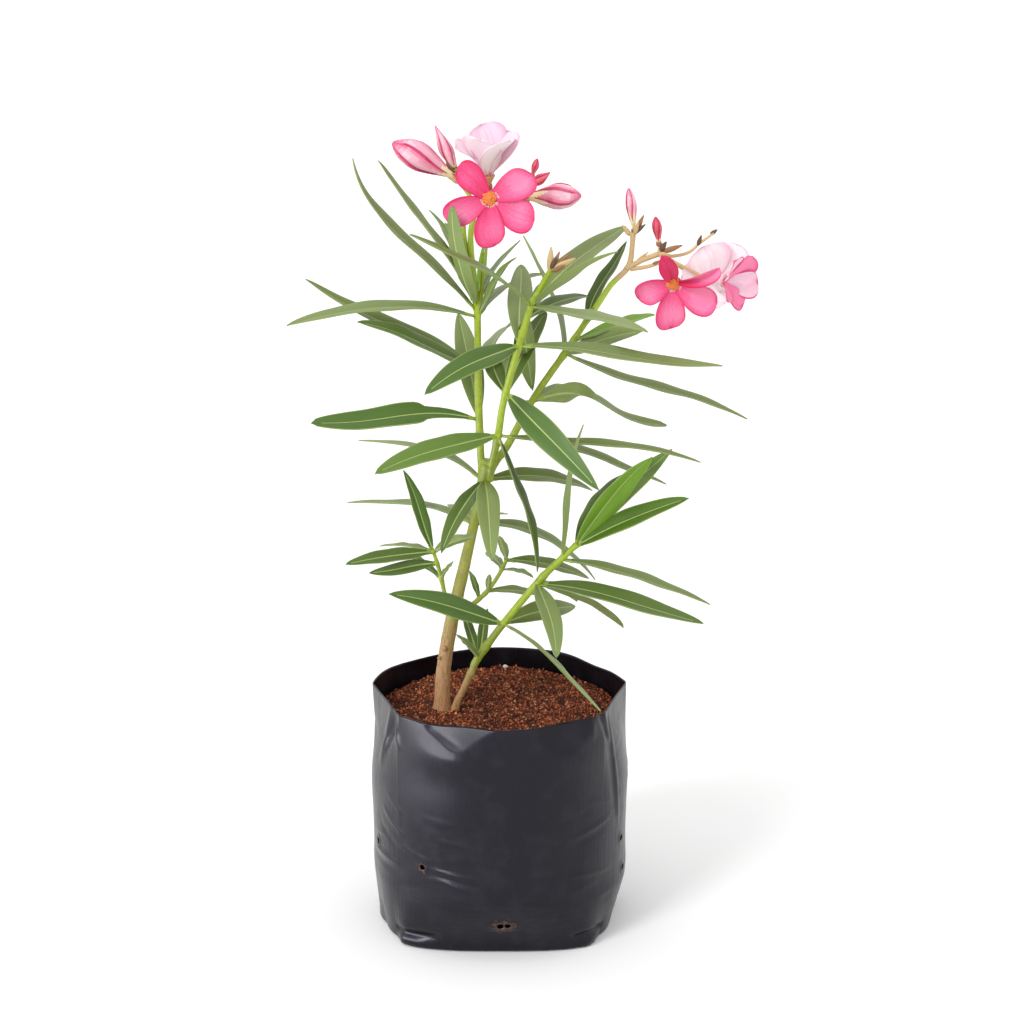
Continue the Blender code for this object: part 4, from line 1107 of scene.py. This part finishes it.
def petalFinish(name, colour, sheer=0):
    # fine veins run the length of the petal; a sheer one lets light through
    petal = newFinish(name, colour, 0.55,
                      {"Specular IOR Level": 0.3, "Sheen Weight": 0.15, "Subsurface Weight": sheer,
                       "Subsurface Scale": mm, "Subsurface Radius": (1, 0.7, 0.8)})
    stretched = addNode(petal, "ShaderNodeMapping", {"Vector": bladeUv(petal), "Scale": blossom["veins"]})
    plugBump(petal, addNoise(petal, stretched.outputs["Vector"], 1.0, 2), 0.25, 0.3)
    return petal


def petalFinishes():
    # every finish of the flowers, and the place of each tone's first one
    finishes, places = [], {}
    for tone, (deep, light) in petalTones.items():
        places[tone] = len(finishes)
        for step in range(blossom["shades"]):
            share = step / (blossom["shades"] - 1)
            colour = [low + (high - low) * share for low, high in zip(deep, light)]
            sheer = blossom["sheer"] if tone == "blush" else 0
            finishes.append(petalFinish("%sPetal%d" % (tone, step), colour, sheer))
    for part, colour in throatTones.items():
        places[part] = len(finishes)
        finishes.append(petalFinish(part, colour))
    return finishes, places


def shadeFaces(bm, made, places, shade):
    # give each face of a new sheet its tone and step from shade(across, along)
    for face, middle in facePlaces(bm, made):
        face.smooth = True
        tone, light = shade(middle.x * 2 - 1, middle.y)
        step = round(min(max(light, 0), 1) * (blossom["shades"] - 1)) if tone in petalTones else 0
        face.material_index = places[tone] + step


def petalOutline(u):
    # share of the half width: a narrow claw that widens to a broad round end
    widest, claw = blossom["widestAt"], blossom["claw"]
    if u < widest:
        return claw + (1 - claw) * math.sin(math.pi / 2 * u / widest) ** 1.25
    return max(0, 1 - ((u - widest) / (1 - widest)) ** 2.4) ** 0.42


def outFrom(facing, angle):
    # the way out from the middle of a flower, at an angle round it
    level = up.cross(facing).normalized()
    return level * math.cos(angle) + facing.cross(level) * math.sin(angle)


def addPetal(bm, places, throat, facing, tone, angle, length, width, cup, fold, curl, brightnessAndPaintedLight, dice):
    outward, tilt = outFrom(facing, math.radians(angle)), math.radians(cup)
    along = outward * math.cos(tilt) + facing * math.sin(tilt)
    face = facing * math.cos(tilt) - outward * math.sin(tilt)
    side = along.cross(face)
    bend, bowl, columns = math.tan(math.radians(fold)), blossom["bowl"], blossom["petalColumns"]
    narrow = 1 / math.hypot(1, bend)
    phase = dice.uniform(0, math.tau)
    made = newSheet(bm, columns, blossom["petalRows"])
    for vert in made:
        x, u = vert.co.x, 1 - (1 - (vert.co.y + 1) / 2) ** 1.35
        half = width / 2 * petalOutline(u)
        reach = u + blossom["slant"] * x * u ** 3 * math.sqrt(max(0, 1 - u * u))
        lift = half * (bend * narrow * abs(x) + bowl * x * x) + length * 0.05 * math.sin(math.pi * u)
        lift -= math.tan(math.radians(curl)) * length * 0.5 * max(u - 0.55, 0) ** 2 / 0.45
        lift += blossom["ruffle"] * length * math.sin(4 * x + phase) * u ** 3
        drift = blossom["skew"] * width * math.sin(math.pi * u ** 1.4) * 0.5
        vert.co = (throat + along * (reach * length) + face * lift + side * (x * half * narrow + drift)) * mm
    streaks = [dice.uniform(-blossom["streak"], blossom["streak"]) for _ in range(columns + 1)]
    # the brightness is partly the petal's own tone and partly painted light and shade, set petal by petal
    first, last = brightnessAndPaintedLight if isinstance(brightnessAndPaintedLight, tuple) else (brightnessAndPaintedLight, brightnessAndPaintedLight)

    def shade(x, u):
        streak, brightnessAndPaintedLight = streaks[int((x + 1) / 2 * columns)], first + (last - first) * u
        edge = abs(x) ** 7 + max(u - 0.93, 0) / 0.07 * 0.6
        if tone == "blush":
            return "blush", 0.45 + brightnessAndPaintedLight - 0.8 * edge + streak
        if tone == "rosePale" and (edge > 0.3 or brightnessAndPaintedLight < 0.1):
            return "rose", 1 - 0.6 * edge + streak
        if tone == "rosePale":
            return "blush", brightnessAndPaintedLight + 0.2 - 0.4 * u + streak
        if u < 0.16 and abs(x) < 0.45 and brightnessAndPaintedLight > 0.3:
            return "blush", 0.1
        centre = math.exp(-((u - 0.6) / 0.3) ** 2) * (1 - 0.7 * abs(x + 0.15) ** 2.5)
        return "rose", 0.25 + brightnessAndPaintedLight * 0.4 + 0.6 * centre * (0.5 + brightnessAndPaintedLight) - 0.35 * edge + streak
    shadeFaces(bm, made, places, shade)


def addThroat(bm, places, throat, facing, size, sunk, dice):
    # five toothed scales round a tuft of gold threads
    throat = throat - facing * sunk
    for number in range(5):
        along = (outFrom(facing, math.radians(number * 72 + 18)) * 0.85 + facing * 0.55).normalized()
        side = along.cross(facing).normalized()
        made = newSheet(bm, 8, 4)
        for vert in made:
            x, u = vert.co.x, (vert.co.y + 1) / 2
            tooth = 1 - 0.16 * u * (0.5 + 0.5 * math.cos(x * 8))
            reach = 2.2 + (0.3 + 3.1 * u * tooth) * (1 - 0.15 * x * x)
            vert.co = (throat + (along * reach - facing * 0.9 + side * x * (1.7 + 0.9 * u)) * size) * mm
        part, light = ("white", 1) if number == 4 else ("blush", 0.35) if number == 3 else ("rose", 0.85)
        shadeFaces(bm, made, places, lambda x, u: (part, light))
    for number in range(blossom["threads"]):
        radius = blossom["threadGap"] * math.sqrt(number)
        made = bmesh.ops.create_icosphere(bm, subdivisions=2, radius=1, calc_uvs=True)["verts"]
        spot = throat + (outFrom(facing, number * 2.4) * radius + facing * (3.2 - radius * 0.6)) * size
        for vert in made:
            tuft = vert.co * dice.uniform(0.85, 1.1) + facing * vert.co.dot(facing) * 1.2
            vert.co = (spot + tuft * size) * mm
        for face in facesOf(made):
            face.material_index = places["gold"]
            face.smooth = True


def addBud(bm, places, base, tip, radius, tone, paleShare, form, dice):
    # five petals furled round each other
    axis, length = (tip - base).normalized(), (tip - base).length
    turn = up.rotation_difference(axis)
    start = dice.uniform(0, math.tau)
    for number in range(5):
        made = newSheet(bm, blossom["budColumns"], blossom["budRows"])
        for vert in made:
            x, u = vert.co.x, (vert.co.y + 1) / 2
            angle = math.radians(x * blossom["budWrap"] + blossom["budTwist"] * u)
            angle += start + number * math.tau / 5
            wide = radius * between(blossom[form], u) * (1 + blossom["budLap"] * x * min(1, 3 * u))
            spoke = turn @ Vector((math.cos(angle), math.sin(angle), 0))
            vert.co = (base + axis * (length * (u - 0.04 * abs(x) * u)) + spoke * wide) * mm
        jitter = dice.uniform(-0.1, 0.1)

        def shade(x, u):
            if u < paleShare * (1.12 - 0.55 * abs(x)):
                return "cream", 0.3 + 0.6 * u / paleShare
            edge = max(x, 0) ** 3 + 0.35 * max(-x, 0) ** 2
            tip, belly = max(u - 0.8, 0) / 0.2, 1 - abs(2 * u - 1)
            return tone, 0.95 - 0.95 * edge - 0.6 * tip + jitter - 0.25 * belly
        shadeFaces(bm, made, places, shade)


def scaleShape(share, spoke):
    # a flattened pointed scale
    wide = math.sin(math.pi * min(share, 0.97) ** 0.7) ** 0.8 + 0.12
    return wide * math.hypot(math.cos(spoke), 0.35 * math.sin(spoke))


def addScale(bm, base, tip, radius, finish):
    base, tip, steps = Vector(base), Vector(tip), blossom["scaleSteps"]
    line = [Vector((*base.lerp(tip, step / steps), radius)) * mm for step in range(steps + 1)]
    sweep(bm, line, blossom["scaleSides"], finish, scaleShape)


def addCalyx(bm, base, axis, sunk, ring, long, flare, wide, finish):
    # five scales that clasp the foot of a flower or bud
    for number in range(5):
        spoke = axis.orthogonal().normalized()
        spoke.rotate(Quaternion(axis, number * math.tau / 5))
        foot = base - axis * sunk + spoke * ring
        addScale(bm, foot, foot + axis * long + spoke * flare, wide, finish)


def addCyme(cyme, petalMesh, stalkMesh, places, stalkPlaces):
    # stalks first, then the flowers, the buds and the loose scales
    dice = random.Random(blossom["seed"])
    heads = [Vector(head) for head in cyme["heads"]]
    sides, scaleFinish = blossom["stalkSides"], stalkPlaces["scale"]
    pedicelFinish = stalkPlaces[cyme["pedicel"]]
    for finish, *stalk in cyme["stalks"]:
        sweep(stalkMesh, smoothPath(stalk, 6), sides, stalkPlaces[finish])
    for flower in cyme["flowers"]:
        throat, facing = Vector(flower["throat"]), direction(*flower["facing"])
        head, base = heads[flower["head"]], throat - facing * flower["reach"]
        calyx = base + facing * blossom["calyxAt"]
        pedicel = ((*head, 1.1), (*head.lerp(base, 0.6), 0.9), (*base, 1.0), (*calyx, 1.3))
        sweep(stalkMesh, smoothPath(pedicel, 6), sides, pedicelFinish)
        tube = ((*calyx, 1.3), (*calyx.lerp(throat, 0.35), 1.7), (*calyx.lerp(throat, 0.7), 2.9),
                (*throat, 3.9))
        sweep(stalkMesh, smoothPath(tube, 5), blossom["tubeSides"], stalkPlaces[flower["tube"]])
        addCalyx(stalkMesh, calyx, facing, 1.5, 1.1, 5, 1.2, 1.0, scaleFinish)
        for petal in flower["petals"]:
            addPetal(petalMesh, places, throat, facing, flower["tone"], *petal, dice)
        addThroat(petalMesh, places, throat, facing, *flower.get("cup", (1, 0)), dice)
    for head, base, tip, radius, *look in cyme["buds"]:
        head, base, tip = heads[head], Vector(base), Vector(tip)
        pedicel = ((*head, 1.0), (*head.lerp(base, 0.5), 0.9), (*base, 0.25 * radius))
        sweep(stalkMesh, smoothPath(pedicel, 5), sides, pedicelFinish)
        addBud(petalMesh, places, base, tip, radius, *look, dice)
        addCalyx(stalkMesh, base, (tip - base).normalized(), 1.0, 0.2 * radius, 2.4 + 0.35 * radius,
                 0.5 + 0.12 * radius, 0.7 + 0.05 * radius, scaleFinish)
    for base, tip, radius, part in cyme["scales"]:
        addScale(stalkMesh, base, tip, radius, stalkPlaces[part])


def makeBlossom():
    finishes, places = petalFinishes()
    stalkFinishes = [newFinish(part, colour, 0.6) for part, colour in stalkTones.items()]
    for finish in stalkFinishes:
        plugBump(finish, addNoise(finish, objectPlace(finish, (1, 1, 0.3)), 1.4), 0.4, 0.2)
    stalkPlaces = {part: number for number, part in enumerate(stalkTones)}
    for side, cyme in cymes.items():
        petalMesh = bmesh.new()
        petalMesh.loops.layers.uv.new("blade")
        stalkMesh, _ = newRingMesh()
        addCyme(cyme, petalMesh, stalkMesh, places, stalkPlaces)
        newPiece(side + "Cyme", ringMesh(stalkMesh, side + "Cyme", stalkFinishes), "shoot", cyme["node"])
        flowerMesh = meshFrom(petalMesh, side + "Flowers", finishes)
        flowers = newPiece(side + "Flowers", flowerMesh, "blossom", cyme["node"])
        thicken(flowers, blossom["petalThickness"], 0)
        print(side, "flowers", len(flowers.data.polygons))


# Floor, lights and camera.

stage = {
    "floorHalf": 30, "floorColour": (250, 250, 250), "world": 1.03,
    "key": {"strength": 1.35, "heading": -130, "rise": 33, "spread": 18},
    # a soft panel seen only in glossy finishes
    "panel": {"power": 2.4, "heading": -155, "away": 420, "level": 108, "wide": 440, "tall": 200},
    "camera": {"place": (7.1, -1400.6, 618.9), "pitch": 15, "lens": 90, "sensor": 36, "farthest": 100},
}


def makeStage():
    bm = bmesh.new()
    bmesh.ops.create_grid(bm, x_segments=1, y_segments=1, size=stage["floorHalf"])
    paint = newFinish("paleFloor", stage["floorColour"], 0.9)
    floor = helperObject("floor", meshFrom(bm, "floor", [paint]))

    world = bpy.data.worlds.new("studio")
    world.use_nodes = True
    sky = world.node_tree.nodes["Background"].inputs
    sky["Color"].default_value = (1, 1, 1, 1)
    sky["Strength"].default_value = stage["world"]
    scene.world = world

    key = stage["key"]
    lamp = bpy.data.lights.new("key", "SUN")
    lamp.energy = key["strength"]
    lamp.angle = math.radians(key["spread"])
    sun = helperObject("key", lamp)
    sun.rotation_mode = "QUATERNION"
    sun.rotation_quaternion = direction(key["heading"], key["rise"]).to_track_quat("Z", "Y")

    panel = stage["panel"]
    lamp = bpy.data.lights.new("panel", "AREA")
    lamp.energy = panel["power"]
    lamp.shape = "RECTANGLE"
    lamp.size = panel["wide"] * mm
    lamp.size_y = panel["tall"] * mm
    screen = helperObject("panel", lamp)
    away = direction(panel["heading"], 0)
    screen.location = (away * panel["away"] + up * panel["level"]) * mm
    screen.rotation_mode = "QUATERNION"
    screen.rotation_quaternion = away.to_track_quat("Z", "Y")
    screen.visible_diffuse = False
    screen.visible_camera = False

    view = stage["camera"]
    lens = bpy.data.cameras.new("camera")
    lens.lens = view["lens"]
    lens.sensor_width = view["sensor"]
    lens.clip_end = view["farthest"]
    camera = helperObject("camera", lens)
    camera.location = Vector(view["place"]) * mm
    camera.rotation_euler = (math.radians(90 - view["pitch"]), 0, 0)
    scene.camera = camera
    scene.view_settings.view_transform = "Standard"


makeStage()
makeBag()
makeMix()
makeStems()
makeLeaves()
makeBlossom()
